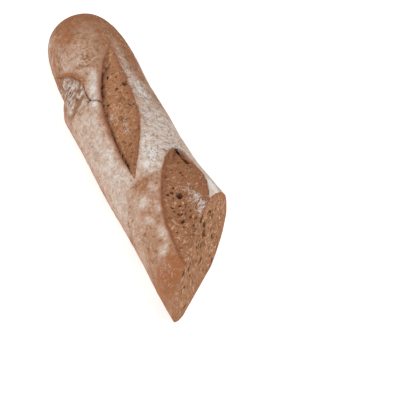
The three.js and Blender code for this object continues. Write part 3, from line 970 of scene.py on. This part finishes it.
def floor_slab(slash, floor, far_end, rows, columns, tuck, holes, seed, caves=(), slits=()):
    """Rings across the slash: along the top from right to left, and back underneath. The slab is
    torn, folded and pitted on top. Its edges drop away, and it thins towards the knife."""
    v = np.linspace(0, 1, rows)[:, None]
    part = np.linspace(0, 1, columns)[None, :]
    start = slash["x"] + 0.5
    x = start + v * 100 + 0 * part
    for _ in range(SETTLING_ROUNDS + 1):
        left, right, opened = slash_edges(x, slash)
        y = mix(right + tuck[1], left - tuck[0], part)
        y, z, out_y, out_z = plain_point(x, crown_angle(x, y))
        x = mix(start, far_end(y, z), v)
    gap = right - left
    depth = cut_depth(y, z)
    before_cut = CUT_REACH - x - depth
    height = floor(x, y) - EDGE_TUCK * opened - CLOSED_DROP * (1 - ease(gap / 3))
    height = height - RIGHT_DROP * ease((y - right + 0.1) / 0.9)
    height = height - (slash is SECOND) * ease((left - y + 0.2) / 0.9)
    open_dough = ease(gap / WIDE_GAP)
    torn = layered(x, y, z, 3.4, 3, 0.6, seed=seed)
    folds = 1 - np.abs(layered(x / 2.2, y, z, 5.0, 2, seed=seed + 9)) * 2
    places = warped(np.stack([x, y, z], axis=-1), seed)
    hole_x, hole_y, radius = holes.T
    pit = bowls(places, on_crown(hole_x, hole_y), HOLE_SIZE * radius, HOLE_STRETCH)
    pit = np.maximum(pit, caves_and_slits(x, y, left, z, caves, slits)) * ease(before_cut / 1.5)
    rough = TORN_HEIGHT * torn + FOLD_HEIGHT * folds - PIT_DEPTH * pit
    top = height + open_dough * rough + swell_relief(x, y, z)
    under = height - mix(THIN, THICK, ease((before_cut - 1) / 5)) + swell_relief(x, y, z)
    under = np.minimum(under, top - LEAST_THICKNESS) - 0.4 * pit
    back = np.linspace(columns - 1, 0, UNDER_COLUMNS).round().astype(int)
    rise = np.concatenate([top, under[:, back]], axis=1)
    facts = {
        "x": x, "y": y, "across": clamp01((y - left) / gap), "pit": clamp01(pit / 1.2),
        "deep": clamp01((pit - 1.5) / 0.7), "open": open_dough,
    }
    order = np.concatenate([np.arange(columns), back])
    facts = {name: grid[:, order] for name, grid in facts.items()}
    x, y, z, out_y, out_z, depth = (grid[:, order] for grid in (x, y, z, out_y, out_z, depth))
    new_y, new_z = y + out_y * rise, z + out_z * rise
    new_x = x - turned(x + depth) * (cut_depth(new_y, new_z) - depth)
    return np.stack([new_x, new_y, new_z], -1), {**facts, "columns": columns}


# %% Both floors
FIRST_END = 223.2
FLOOR_FLOUR = [  # x, y, reach in x, reach in y, amount
    (263, 14.5, 6, 3.5, 0.85), (274, 15, 6, 4, 0.9), (252, 12.5, 8, 4, 0.5), (281, 11, 6, 4, 0.6),
    (244, 8, 9, 6, 0.3), (268, 9, 10, 6, 0.35), (150, -13, 4, 3.5, 0.75), (156, -3, 14, 7, 0.42),
    (170, -7, 13, 6, 0.4), (192, -11, 14, 5, 0.26),
]


def first_end(y, z):
    return FIRST_END + 0 * y


def at_knife(y, z):
    return CUT_REACH - cut_depth(y, z)


first_holes = np.concatenate([
    FIRST_HOLES, scattered_holes(7, 110, (90, 210), (-22, 16), (0.35, 1.0)),
])
first_rings, first_facts = floor_slab(
    FIRST, first_floor, first_end, 330, 78, (2.0, 1.2), first_holes, 21, caves=FIRST_CAVES,
)
second_holes = np.concatenate([
    SECOND_HOLES, scattered_holes(8, 150, (208, 300), (-20, 26), (0.35, 1.2)),
])
second_rings, second_facts = floor_slab(
    SECOND, second_floor, at_knife, 250, 92, (1.2, 1.2), second_holes, 33, slits=ROOT_SLITS,
)


def floor_masks(facts):
    """Bubbles, flour, and the browning that grows towards the right edge and the ends, and along
    the second slash's left edge."""
    x, across = facts["x"], facts["across"]
    browned = 0.85 * across**4 + 0.5 * hill(x - 206, 18) + 0.25 * (1 - facts["open"])
    browned = browned + 0.9 * hill(across, 0.07) * ease((x - 205) / 12)
    return {
        "pit": facts["pit"], "deep": facts["deep"], "browned": clamp01(browned),
        "flour": patches(FLOOR_FLOUR, x, facts["y"]),
    }


no_points = (np.zeros(3), np.zeros(3))
bloom_first = closed_tube(
    "bloom_first", first_rings, no_points, floor_masks(first_facts), first_facts["columns"]
)
bloom_second = closed_tube(
    "bloom_second", second_rings, no_points, floor_masks(second_facts), second_facts["columns"]
)

# %% [markdown]
# ## The crumb behind the knife
#
# The cut face is a disc of rings that shrink from the section's outline to its middle. It is
# pitted by a few hundred seeded bubbles, mostly small, and it stands a hair in front of the
# crust's rim. Its wall runs back into the pocket.

# %% Outline of the cut section
CRUMB_COLUMNS, CRUMB_RINGS, OUTLINE_POINTS = 400, 112, 1600
INSET_IN_SKIN, INSET_IN_FLOOR = 0.62, 1.0


def cut_section(share):
    """The dressed outline in the cut: skin outside the second slash, floor inside it."""
    x = np.full_like(share, CUT_REACH)
    for _ in range(SETTLING_ROUNDS):
        y, z, out_y, out_z = plain_point(x, look_up(ANGLE_TABLE, x, share))
        x = ring_x(CUT_REACH, y, z)
    left, right, _ = slash_edges(x, SECOND)
    inside = ease((y - left + 0.3) / 1.2) * ease((right - y + 0.3) / 1.2) * (out_z > 0.3)
    skin_rise = facing_up(out_z) * skin_relief(x, y)
    rise = mix(skin_rise, second_floor(x, y) - EDGE_TUCK, inside) + swell_relief(x, y, z)
    rise = rise + (1 - inside) * grain_relief(x, y, z)
    inset = mix(INSET_IN_SKIN, INSET_IN_FLOOR, inside)
    return y + out_y * rise, np.maximum(z + out_z * rise, 0), inset


outline = cut_section(np.linspace(0, 1, OUTLINE_POINTS, endpoint=False))
outline_y, outline_z, _ = outline
steps = np.hypot(np.diff(outline_y, append=outline_y[:1]), np.diff(outline_z, append=outline_z[:1]))
so_far = np.concatenate([[0], np.cumsum(steps)])
even = np.linspace(0, so_far[-1], CRUMB_COLUMNS, endpoint=False)
outline_y, outline_z, outline_inset = (
    np.interp(even, so_far, np.append(values, values[0])) for values in outline
)
print("girth of the cut:", round(float(so_far[-1]), 1), "mm")


# %% The cut face
FACE_HOLES, CROWDED_SHARE, CROWD_Y, CROWD_Z = 330, 0.45, (6, 8), (38, 9)
FACE_HOLE_SIZES = (0.5, 2.3)
FACE_PROUD = 0.12
WALL_PLACES = ((0.5, 0.8), (1.6, 2.2), (4.0, 5.0), (7.0, 10.0))


def face_holes(seed, count):
    """Seeded bubbles on the face, crowded under the crown: their places and radii. Small ones are
    by far the most common."""
    draw = np.random.default_rng(seed)
    turn = draw.uniform(0, CRUMB_COLUMNS, count).astype(int)
    out = np.sqrt(draw.uniform(0, 0.9, count))
    y = mix(CUT_MIDDLE[0], outline_y[turn], out)
    z = mix(CUT_MIDDLE[1], outline_z[turn], out)
    crowded = draw.uniform(0, 1, count) < CROWDED_SHARE
    y = np.where(crowded, draw.normal(*CROWD_Y, count), y)
    z = np.where(crowded, draw.normal(*CROWD_Z, count), z)
    radius = mix(*FACE_HOLE_SIZES, draw.uniform(0, 1, count) ** 2.8)
    return face_point(y, z, 0.0), radius


rim_y, rim_z = toward_middle(outline_y, outline_z, outline_inset)
out = np.linspace(0, 1, CRUMB_RINGS + 1)[1:, None] ** 0.8
face_y, face_z = mix(CUT_MIDDLE[0], rim_y, out), mix(CUT_MIDDLE[1], rim_z, out)
flat_face = face_point(face_y, face_z, 0.0)
hole_places, hole_radii = face_holes(41, FACE_HOLES)
face_pit = bowls(warped(flat_face, 61), hole_places, hole_radii, (1.25, 1.25, 1.0))
crumb_grain = 0.42 * layered(*np.moveaxis(flat_face, -1, 0), 2.6, 3, 0.7, seed=51)
from_rim = np.hypot(face_y - rim_y, face_z - rim_z)
off_rim = ease(from_rim / 0.9)
sunken = off_rim * (1.1 * face_pit - crumb_grain) + 0.25 * (1 - ease(from_rim / 0.5))
inward = np.array([-1.0, -1.0, -CUT_LEAN / 2]) / np.sqrt(2 + CUT_LEAN**2 / 4)
face = flat_face + np.array([FACE_PROUD, 0, 0]) + sunken[..., None] * inward
wall = np.array([
    face_point(*toward_middle(outline_y, outline_z, outline_inset + inset), behind)
    for inset, behind in WALL_PLACES
])
crumb_rings = np.concatenate([face, wall])
crumb_masks = {
    "pit": np.concatenate([clamp01(face_pit / 1.2) * off_rim, np.zeros(wall.shape[:2])]),
    "flour": np.zeros(crumb_rings.shape[:2]),
    "browned": np.concatenate([0.6 * hill(from_rim, 2.0), np.ones(wall.shape[:2])]),
}
middle = face_point(np.array(CUT_MIDDLE[0]), np.array(CUT_MIDDLE[1]), -FACE_PROUD)
crumb = closed_tube("crumb", crumb_rings, (middle, crumb_rings[-1].mean(axis=0)), crumb_masks)

# %% [markdown]
# ## Clumps of flour and loose crumbs
#
# Dusting flour gathers in small clumps on the torn floors, and tearing leaves pale crumbs there.
# Each is a squashed ball of twenty faces, from a third of a millimetre to one and a half across.
# Their places are a seeded draw from the grid points of a floor, weighted by a mask and by how far
# apart the grid points are. All clumps are one mesh, and all crumbs another.

# %% A ball of twenty faces
GOLDEN = (1 + 5**0.5) / 2
BALL_POINTS = np.array([(s, t * GOLDEN, 0) for s in (-1, 1) for t in (-1, 1)])
BALL_POINTS = np.concatenate([np.roll(BALL_POINTS, turn, axis=1) for turn in range(3)])
BALL_POINTS = BALL_POINTS / np.hypot(1, GOLDEN)


def ball_faces():
    """The twenty triples of points that all lie one edge apart, turned outwards."""
    apart = np.linalg.norm(BALL_POINTS[:, None] - BALL_POINTS[None], axis=-1)
    near = (apart > 0.1) & (apart < 1.2)
    i, j, k = np.nonzero(near[:, :, None] & near[None, :, :] & near[:, None, :])
    a, b, c = BALL_POINTS[i], BALL_POINTS[j], BALL_POINTS[k]
    outward = np.einsum("ij,ij->i", np.cross(b - a, c - a), a) > 0
    first = (i < j) & (i < k) & outward
    return np.stack([i, j, k], -1)[first]


BALL_FACES = ball_faces()
print("ball:", BALL_POINTS.shape, BALL_FACES.shape)


# %% Scattering
GRAIN_SQUASH, GRAIN_LUMPS, GRAIN_LIFT = (0.55, 1.0), 0.18, 0.3
SPOT_SHIFT = 0.2
MAP_CORNERS = ((0.1, 0.1), (0.9, 0.1), (0.1, 0.9))
TOP_ROWS, TUCKED_RIGHT, TUCKED_LEFT = 3, 4, 6
CLUMP_COUNTS, CRUMB_COUNTS = (60, 260), (330, 160)  # on the first floor and on the second
CLUMP_SIZE, CRUMB_SIZE = (-1.3, 0.35), (-0.95, 0.3)


def grid_spots(rings, weight, count, draw):
    """Points of the grid and the outward directions there, drawn by weight times cell area."""
    along = np.gradient(rings, axis=0)
    around = np.gradient(rings, axis=1)
    outward = np.cross(around, along)
    area = np.linalg.norm(outward, axis=-1)
    chance = (weight * area).reshape(-1)
    picked = draw.choice(len(chance), count, p=chance / chance.sum())
    outward = outward.reshape(-1, 3)[picked] / area.reshape(-1)[picked, None]
    outward = outward * np.sign(outward[:, 2:])
    shift = draw.uniform(-SPOT_SHIFT, SPOT_SHIFT, (count, 3))
    return rings.reshape(-1, 3)[picked] + shift, outward


def scattered(name, spots, outward, sizes, draw):
    """One mesh of squashed balls, each turned its own way and sunk well into the surface."""
    count = len(sizes)
    turns = np.linalg.qr(draw.normal(size=(count, 3, 3)))[0]
    shapes = draw.uniform(*GRAIN_SQUASH, (count, 1, 3)) * sizes[:, None, None]
    lumpy = 1 + GRAIN_LUMPS * draw.normal(size=(count, len(BALL_POINTS), 1))
    points = np.einsum("nij,nkj->nki", turns, BALL_POINTS * lumpy * shapes)
    points = points + (spots + outward * sizes[:, None] * GRAIN_LIFT)[:, None]
    faces = BALL_FACES[None] + len(BALL_POINTS) * np.arange(count)[:, None, None]
    points, faces = points.reshape(-1, 3), faces.reshape(-1, 3)
    if enclosed_volume(points, faces) < 0:
        faces = faces[:, ::-1]
    side = int(np.ceil(np.sqrt(len(faces))))
    cell = np.arange(len(faces))
    corner = np.stack([cell % side, cell // side], -1)[:, None] + np.array(MAP_CORNERS)
    print(name, "grains:", count, "triangles:", len(faces))
    return new_piece(name, points, [faces], [corner / side], smooth=False)


def floor_top(rings, facts, values):
    """Only the top of a slab, without its tucked edges."""
    top = slice(TUCKED_RIGHT, facts["columns"] - TUCKED_LEFT)
    return rings[TOP_ROWS:-TOP_ROWS, top], values[TOP_ROWS:-TOP_ROWS, top]


def grains_on_floors(name, first_weight, second_weight, counts, size, draw):
    """Grains on both floors, drawn one floor after the other, of radius exp(normal(*size))."""
    first_spots = grid_spots(first_top, first_weight, counts[0], draw)
    second_spots = grid_spots(second_top, second_weight, counts[1], draw)
    spots = [np.concatenate(pair) for pair in zip(first_spots, second_spots)]
    return scattered(name, *spots, np.exp(draw.normal(*size, sum(counts))), draw)


draw = np.random.default_rng(5)
first_top, first_flour = floor_top(first_rings, first_facts, floor_masks(first_facts)["flour"])
second_top, second_flour = floor_top(second_rings, second_facts, floor_masks(second_facts)["flour"])
flour_weights = first_flour**3, second_flour**2
flour_clumps = grains_on_floors(
    "flour_clumps", *flour_weights, CLUMP_COUNTS, CLUMP_SIZE, draw
)
crumb_weights = 0.15 + first_flour, 0.4 + 0 * second_flour
loose_crumbs = grains_on_floors(
    "loose_crumbs", *crumb_weights, CRUMB_COUNTS, CRUMB_SIZE, draw
)

# %% [markdown]
# ## Writing finishes as sums
#
# A node tree is easier to read as arithmetic. `Wire` holds one socket, and adding, multiplying or
# comparing wires adds the Math node that does it. Any other node comes from `Finish.node`, which
# takes the node's type, its settings and the values or wires of its sockets.


# %% Wires and finishes
CRUST_GLOSS = 0.12


def find_socket(sockets, key):
    """A socket by its identifier, its name or its number."""
    if isinstance(key, int):
        return sockets[key]
    same = [s for s in sockets if s.identifier == key] or [s for s in sockets if s.name == key]
    return same[0]


class Wire:
    """One output socket, on which sums can be written."""

    def __init__(self, finish, socket):
        self.finish, self.socket = finish, socket

    def math(self, operation, first, second, clamp=False):
        settings = {"operation": operation, "use_clamp": clamp}
        return self.finish.node("ShaderNodeMath", settings, {0: first, 1: second})

    def __add__(self, other):
        return self.math("ADD", self, other)

    def __sub__(self, other):
        return self.math("SUBTRACT", self, other)

    def __rsub__(self, other):
        return self.math("SUBTRACT", other, self)

    def __mul__(self, other):
        return self.math("MULTIPLY", self, other)

    __radd__ = __add__
    __rmul__ = __mul__

    def clamped(self):
        return self.math("ADD", self, 0.0, clamp=True)

    def from_to(self, low, high):
        """0 up to low, 1 from high on, eased between."""
        settings = {"interpolation_type": "SMOOTHSTEP"}
        sockets = {"Value": self, "From Min": low, "From Max": high, "To Min": 0.0, "To Max": 1.0}
        return self.finish.node("ShaderNodeMapRange", settings, sockets, "Result")


class Finish:
    """A material under construction. Its colour is the wire of all that was laid on so far."""

    def __init__(self, name):
        self.material = bpy.data.materials.new(name)
        self.material.use_nodes = True
        self.tree = self.material.node_tree
        self.tree.nodes.clear()
        self.colour = None

    def node(self, kind, settings=None, sockets=None, output=0):
        """Adds a node, gives it its settings, then its sockets, and returns one output."""
        made = self.tree.nodes.new(kind)
        for name, value in (settings or {}).items():
            setattr(made, name, value)
        for key, value in (sockets or {}).items():
            socket = find_socket(made.inputs, key)
            if isinstance(value, Wire):
                self.tree.links.new(value.socket, socket)
            else:
                socket.default_value = value
        return Wire(self, find_socket(made.outputs, output)) if len(made.outputs) else made

    def place(self):
        """Object coordinates in metres."""
        return self.node("ShaderNodeTexCoord", output="Object")

    def stretched(self, x, y, z):
        """Object coordinates drawn out: 2 makes a pattern twice as long that way."""
        sockets = {"Vector": self.place(), "Scale": (1 / x, 1 / y, 1 / z)}
        return self.node("ShaderNodeMapping", None, sockets)

    def speckle(self, grain, detail=3.0, rough=0.6, place=None, seed=0):
        """Noise from 0 to 1 whose spots are about `grain` mm; another seed gives other spots."""
        sockets = {
            "Vector": place or self.place(), "W": 7.3 * seed, "Scale": 1000.0 / (2 * grain),
            "Detail": detail, "Roughness": rough,
        }
        return self.node("ShaderNodeTexNoise", {"noise_dimensions": "4D"}, sockets)

    def mask(self, name):
        return self.node("ShaderNodeAttribute", {"attribute_name": name}, output="Fac")

    def blend(self, first, second, share):
        """Colour `first` where share is 0 and `second` where it is 1."""
        first = (*first, 1.0) if isinstance(first, tuple) else first
        second = (*second, 1.0) if isinstance(second, tuple) else second
        sockets = {"Factor_Float": share, "A_Color": first, "B_Color": second}
        return self.node("ShaderNodeMix", {"data_type": "RGBA"}, sockets, "Result_Color")

    def coat(self, colour, share):
        """Lays a colour over what is there, as strongly as share says."""
        self.colour = self.blend(self.colour, colour, share)

    def shader(self, roughness, height, bump, depth):
        """A matte baked surface with a bump of `depth` metres."""
        sockets = {"Height": height, "Strength": bump, "Distance": depth}
        normal = self.node("ShaderNodeBump", None, sockets)
        surface = self.node("ShaderNodeBsdfPrincipled", None, {
            "Base Color": self.colour, "Roughness": roughness, "Normal": normal,
            "Specular IOR Level": CRUST_GLOSS,
        })
        self.node("ShaderNodeOutputMaterial", None, {"Surface": surface})
        return self.material


def four_grains(f, sizes, seed):
    """Noise at four sizes, from blotches down to specks, with the two finest summed as grit."""
    kinds = ((2.0, 0.5, 0), (4.0, 0.65, 1), (3.0, 0.65, 2), (2.0, 0.6, 7))
    broad, middling, fine, tiny = (
        f.speckle(size, detail, rough, seed=seed + step)
        for size, (detail, rough, step) in zip(sizes, kinds)
    )
    return broad, middling, fine, tiny, (tiny - 0.5) * 1.6 + (fine - 0.5) * 1.8


# %% [markdown]
# ## The finish of the crust
#
# The bare crust is pinkish brown, more orange where it browned. Flour lies on it in specks: the
# smooth cover from the masks is set against noise at three sizes, so that it breaks up at its
# edges and shows the crust through in small dark flecks. Rolled edges are bare and redder. Painted
# shade darkens the cracks, the gaps between torn lumps and the open bubbles of the skin.

# %% Crust colours
CRUST_TAN = (0.390, 0.226, 0.142)
CRUST_PINK = (0.500, 0.330, 0.240)
CRUST_BROWN = (0.240, 0.106, 0.050)
CRUST_ORANGE = (0.290, 0.106, 0.035)
CRUST_EDGE = (0.290, 0.098, 0.055)
CRUST_RED = (0.330, 0.100, 0.050)
CRUST_DARK = (0.130, 0.066, 0.044)
FLOUR_WHITE = (0.650, 0.590, 0.545)
FLOUR_CLEAN = (0.690, 0.670, 0.650)
FLOUR_THIN = (0.500, 0.358, 0.276)
TORN_TAN = (0.250, 0.115, 0.060)
TORN_WHITE = (0.690, 0.610, 0.560)
# painted shade, near black, for cracks, gaps between torn lumps and open bubbles
CRUST_PAINTED_SHADE = (0.070, 0.028, 0.012)
SOLE_BROWN = (0.200, 0.090, 0.044)
SOLE_PALE = (0.420, 0.290, 0.205)
BARE_ROUGHNESS, FLOUR_ROUGHNESS = 0.72, 0.95
BAKED_BUMP, CRUST_BUMP_DEPTH = 0.9, 0.0010


def crust_finish():
    f = Finish("baked crust, floured")
    flour, browned, edge, torn = (f.mask(m) for m in ("flour", "browned", "edge", "torn"))
    sole, crack, pit, lumps = (f.mask(m) for m in ("sole", "crack", "pit", "lumps"))
    red, streaked = f.mask("red"), f.mask("streaked")
    broad, middling, fine, tiny, grit = four_grains(f, (9.0, 3.0, 1.4, 0.75), 1)
    blots, dots = f.speckle(4.5, 3.0, 0.6, seed=4), f.speckle(1.5, 2.0, 0.6, seed=5)
    streaks = f.speckle(1.25, 3.5, 0.7, f.stretched(2.2, 1.0, 1.0), seed=6)
    mottle = (middling - 0.5) * 1.6 + (broad - 0.5) * 1.5
    tone = 0.5 + grit * 0.8 + mottle
    f.colour = f.blend(CRUST_BROWN, CRUST_TAN, tone.from_to(0.0, 0.50))
    f.coat(CRUST_PINK, tone.from_to(0.45, 1.0))
    rust = browned * 1.55 + (blots - 0.5) * 2.4 + mottle * 0.8 + grit * 1.1 - 0.18
    f.coat(CRUST_ORANGE, rust.from_to(0.05, 0.9) * 0.96)
    reddened = (blots * 0.5 + dots * 0.5 + red * 0.5).from_to(0.585, 0.66)
    f.coat(CRUST_RED, reddened * 0.7)
    cover = flour + 0.05 * (1 - browned)
    thin = (cover * 1.6 + mottle * 0.7 + grit * 0.6).from_to(0.03, 0.95)
    f.coat(FLOUR_THIN, thin * 0.85)
    heaped = cover + cover.from_to(0.9, 1.0) * 0.4
    thick = (heaped * 1.2 + mottle * 0.75 + grit * 1.2).from_to(0.42, 1.46)
    f.coat(FLOUR_WHITE, thick * 0.92)
    f.coat(FLOUR_CLEAN, (flour + grit * 0.1).from_to(0.88, 1.0) * 0.9)
    specks = (tiny * 0.7 + dots * 0.3 + (fine - 0.5) * 0.3).from_to(0.53, 0.64) * browned
    f.coat(CRUST_PINK, specks * 0.5)
    flecks = (streaks - grit * 0.12).from_to(0.50, 0.68) * (0.15 + streaked * 0.85)
    flecks = flecks * (1 - flour.from_to(0.9, 1.0) * 0.8)
    f.coat(CRUST_DARK, flecks * 0.7)
    f.coat(TORN_TAN, torn * (tone.clamped() * 0.3 + 0.6))
    f.coat(TORN_WHITE, lumps * (tone + 0.25).clamped() * 0.85)
    # painted shade in the gaps between the torn lumps
    gaps = (dots + (fine - 0.5) * 0.6).from_to(0.60, 0.68) * torn
    f.coat(CRUST_PAINTED_SHADE, gaps * 0.7)
    reddish = (edge * (0.6 + mottle * 1.3 + grit * 1.3)).clamped()
    f.coat(CRUST_EDGE, reddish * 0.75)
    sole = (sole + mottle * 0.5 + grit * 0.3).from_to(0.35, 0.75)
    sole_colour = f.blend(SOLE_BROWN, SOLE_PALE, (tone + mottle).from_to(0.2, 1.1))
    f.coat(sole_colour, sole * 0.9)
    # painted shade in the cracks and along the tear's torn side
    broken = 1 - (crack + (fine - 0.5) * 2.0 + (middling - 0.5) * 1.4).from_to(0.35, 1.15)
    f.coat(CRUST_PAINTED_SHADE, broken * 0.85)
    # painted shade in the skin's open bubbles
    f.coat(CRUST_PAINTED_SHADE, pit.from_to(0.15, 0.9) * 0.8)
    height = fine * 0.5 + middling * 0.7 + tiny * 0.3 + thick * 0.3 - flecks * 0.6
    roughness = thick * (FLOUR_ROUGHNESS - BARE_ROUGHNESS) + BARE_ROUGHNESS
    return f.shader(roughness, height, BAKED_BUMP, CRUST_BUMP_DEPTH)


# %% [markdown]
# ## The finish of the crumb
#
# The torn floors and the cut face are the same wheaten brown crumb: mottled, and pricked by
# bubbles too small to model. Painted shade of a dark red-brown fills these pricks and the open
# bubbles, and goes nearly black in the deepest hollows.

# %% Crumb colours
CRUMB_PALE = (0.540, 0.350, 0.235)
CRUMB_BROWN = (0.185, 0.076, 0.033)
CRUMB_RED = (0.230, 0.082, 0.036)
# painted shade: darkest in the second floor's holes, browner in the first floor's and the cut face's,
# nearly black in the deepest hollows
PAINTED_HOLE_SHADE_DARK = (0.072, 0.026, 0.010)
PAINTED_HOLE_SHADE_BROWN = (0.092, 0.037, 0.016)
PAINTED_DEEP_SHADE = (0.016, 0.006, 0.004)
FIRST_TAN = (0.370, 0.172, 0.084)
SECOND_TAN = (0.295, 0.130, 0.063)
CUT_TAN = (0.295, 0.142, 0.073)
CRUMB_ROUGHNESS = 0.9
FLOOR_BUMP_DEPTH, CUT_BUMP_DEPTH = 0.0009, 0.0007


def crumb_finish(name, tan, hole, depth):
    """Crumb of one tan, painted shade of one colour in its holes, and a bump of `depth` metres."""
    f = Finish(name)
    pit, deep, flour, browned = (f.mask(m) for m in ("pit", "deep", "flour", "browned"))
    broad, middling, fine, tiny, grit = four_grains(f, (7.0, 2.6, 1.2, 0.7), 11)
    grains, pores = f.speckle(1.5, 2.0, 0.6, seed=14), f.speckle(1.8, 3.0, 0.65, seed=15)
    mottle = (middling - 0.5) * 1.5 + (broad - 0.5) * 0.9
    tone = 0.5 + mottle + grit * 0.8
    f.colour = f.blend(CRUMB_BROWN, tan, tone.from_to(-0.05, 0.55))
    f.coat(CRUMB_PALE, (grains + grit * 0.3).from_to(0.54, 0.76) * 0.9)
    f.coat(CRUMB_RED, (browned * (0.7 + mottle)).clamped())
    pricks = (pores + grit * 0.15 - mottle * 0.1).from_to(0.60, 0.72)
    # painted shade in pores too small to model
    f.coat(hole, pricks * 0.6)
    # painted shade in the open bubbles
    f.coat(hole, (pit + grit * 0.2).from_to(0.03, 0.75) * 0.92)
    # painted near-black shade in the deepest hollows
    f.coat(PAINTED_DEEP_SHADE, deep * 0.85)
    dusted = (flour * 1.5 + mottle * 1.5 + grit * 1.2).from_to(0.6, 1.7)
    f.coat(FLOUR_WHITE, dusted * 0.95 * (1 - pit.clamped() * 0.8))
    height = fine * 0.6 + middling * 0.8 + grains * 0.5 + tiny * 0.3 - pricks * 0.9 + dusted * 0.3
    return f.shader(CRUMB_ROUGHNESS, height, BAKED_BUMP, depth)


# %% Finish of the clumps and crumbs
GRAIN_BUMP, GRAIN_BUMP_DEPTH = 0.5, 0.0003
CLUMP_PALE, CLUMP_DARK = (0.690, 0.640, 0.590), (0.460, 0.350, 0.280)
LOOSE_PALE, LOOSE_DARK = (0.560, 0.370, 0.250), (0.380, 0.200, 0.110)


def grain_finish(name, pale, dark):
    """One grain's colour wanders between pale and dark."""
    f = Finish(name)
    tone = f.speckle(0.8, 2.0, 0.6, seed=21)
    f.colour = f.blend(dark, pale, tone.from_to(0.35, 0.65))
    return f.shader(FLOUR_ROUGHNESS, tone, GRAIN_BUMP, GRAIN_BUMP_DEPTH)


# %% The pieces get their finishes
finishes = (
    (crust, crust_finish()),
    (bloom_first, crumb_finish("torn crumb, first", FIRST_TAN, PAINTED_HOLE_SHADE_BROWN, FLOOR_BUMP_DEPTH)),
    (bloom_second, crumb_finish("torn crumb, second", SECOND_TAN, PAINTED_HOLE_SHADE_DARK, FLOOR_BUMP_DEPTH)),
    (crumb, crumb_finish("cut crumb", CUT_TAN, PAINTED_HOLE_SHADE_BROWN, CUT_BUMP_DEPTH)),
    (flour_clumps, grain_finish("clumped flour", CLUMP_PALE, CLUMP_DARK)),
    (loose_crumbs, grain_finish("loose crumbs", LOOSE_PALE, LOOSE_DARK)),
)
for piece, finish in finishes:
    piece.data.materials.append(finish)
for piece in (crust, bloom_first, bloom_second, crumb, flour_clumps, loose_crumbs):
    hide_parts("loaf")
    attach(piece, "root")

# %% [markdown]
# ## Floor and light
#
# The photograph has a pure white ground and soft studio light. A white sheet that glows a little,
# as on a light table, burns out to white and keeps only the shade where the loaf touches it. Two
# large soft lamps stand in front, one on each side, so that the round end falls off in tone.

# %% Floor
FLOOR_REACH = 4
SHEET_CORNERS = ((-1, -1), (1, -1), (1, 1), (-1, 1))
floor_mesh = bpy.data.meshes.new("floor")
floor_corners = [(FLOOR_REACH * a, FLOOR_REACH * b, 0) for a, b in SHEET_CORNERS]
floor_mesh.from_pydata(floor_corners, [], [(0, 1, 2, 3)])
floor = bpy.data.objects.new("floor", floor_mesh)
bpy.context.scene.collection.objects.link(floor)
paint = Finish("white floor")
matte = paint.node("ShaderNodeBsdfPrincipled", None, {
    "Base Color": (0.9, 0.9, 0.9, 1), "Roughness": 1.0, "Specular IOR Level": 0.0,
    "Emission Color": (1, 1, 1, 1), "Emission Strength": 0.4,
})
paint.node("ShaderNodeOutputMaterial", None, {"Surface": matte})
floor_mesh.materials.append(paint.material)

# %% Light
SKY_STRENGTH = 0.42
world = bpy.data.worlds.new("studio")
world.use_nodes = True
world.node_tree.nodes["Background"].inputs["Color"].default_value = (1, 1, 1, 1)
world.node_tree.nodes["Background"].inputs["Strength"].default_value = SKY_STRENGTH
bpy.context.scene.world = world


def soft_lamp(name, place, width, power):
    """A square lamp that faces the loaf."""
    lamp = bpy.data.lights.new(name, "AREA")
    lamp.shape = "SQUARE"
    lamp.size = width
    lamp.energy = power
    holder = bpy.data.objects.new(name, lamp)
    holder.location = place
    holder.rotation_mode = "QUATERNION"
    holder.rotation_quaternion = (-Vector(place)).to_track_quat("-Z", "Y")
    bpy.context.scene.collection.objects.link(holder)


LAMP_WIDTH, LEFT_POWER, FRONT_POWER = 0.9, 24, 31
soft_lamp("left lamp", (-0.6, -1.5, 1.4), LAMP_WIDTH, LEFT_POWER)
soft_lamp("front lamp", (1.5, 0.6, 1.4), LAMP_WIDTH, FRONT_POWER)
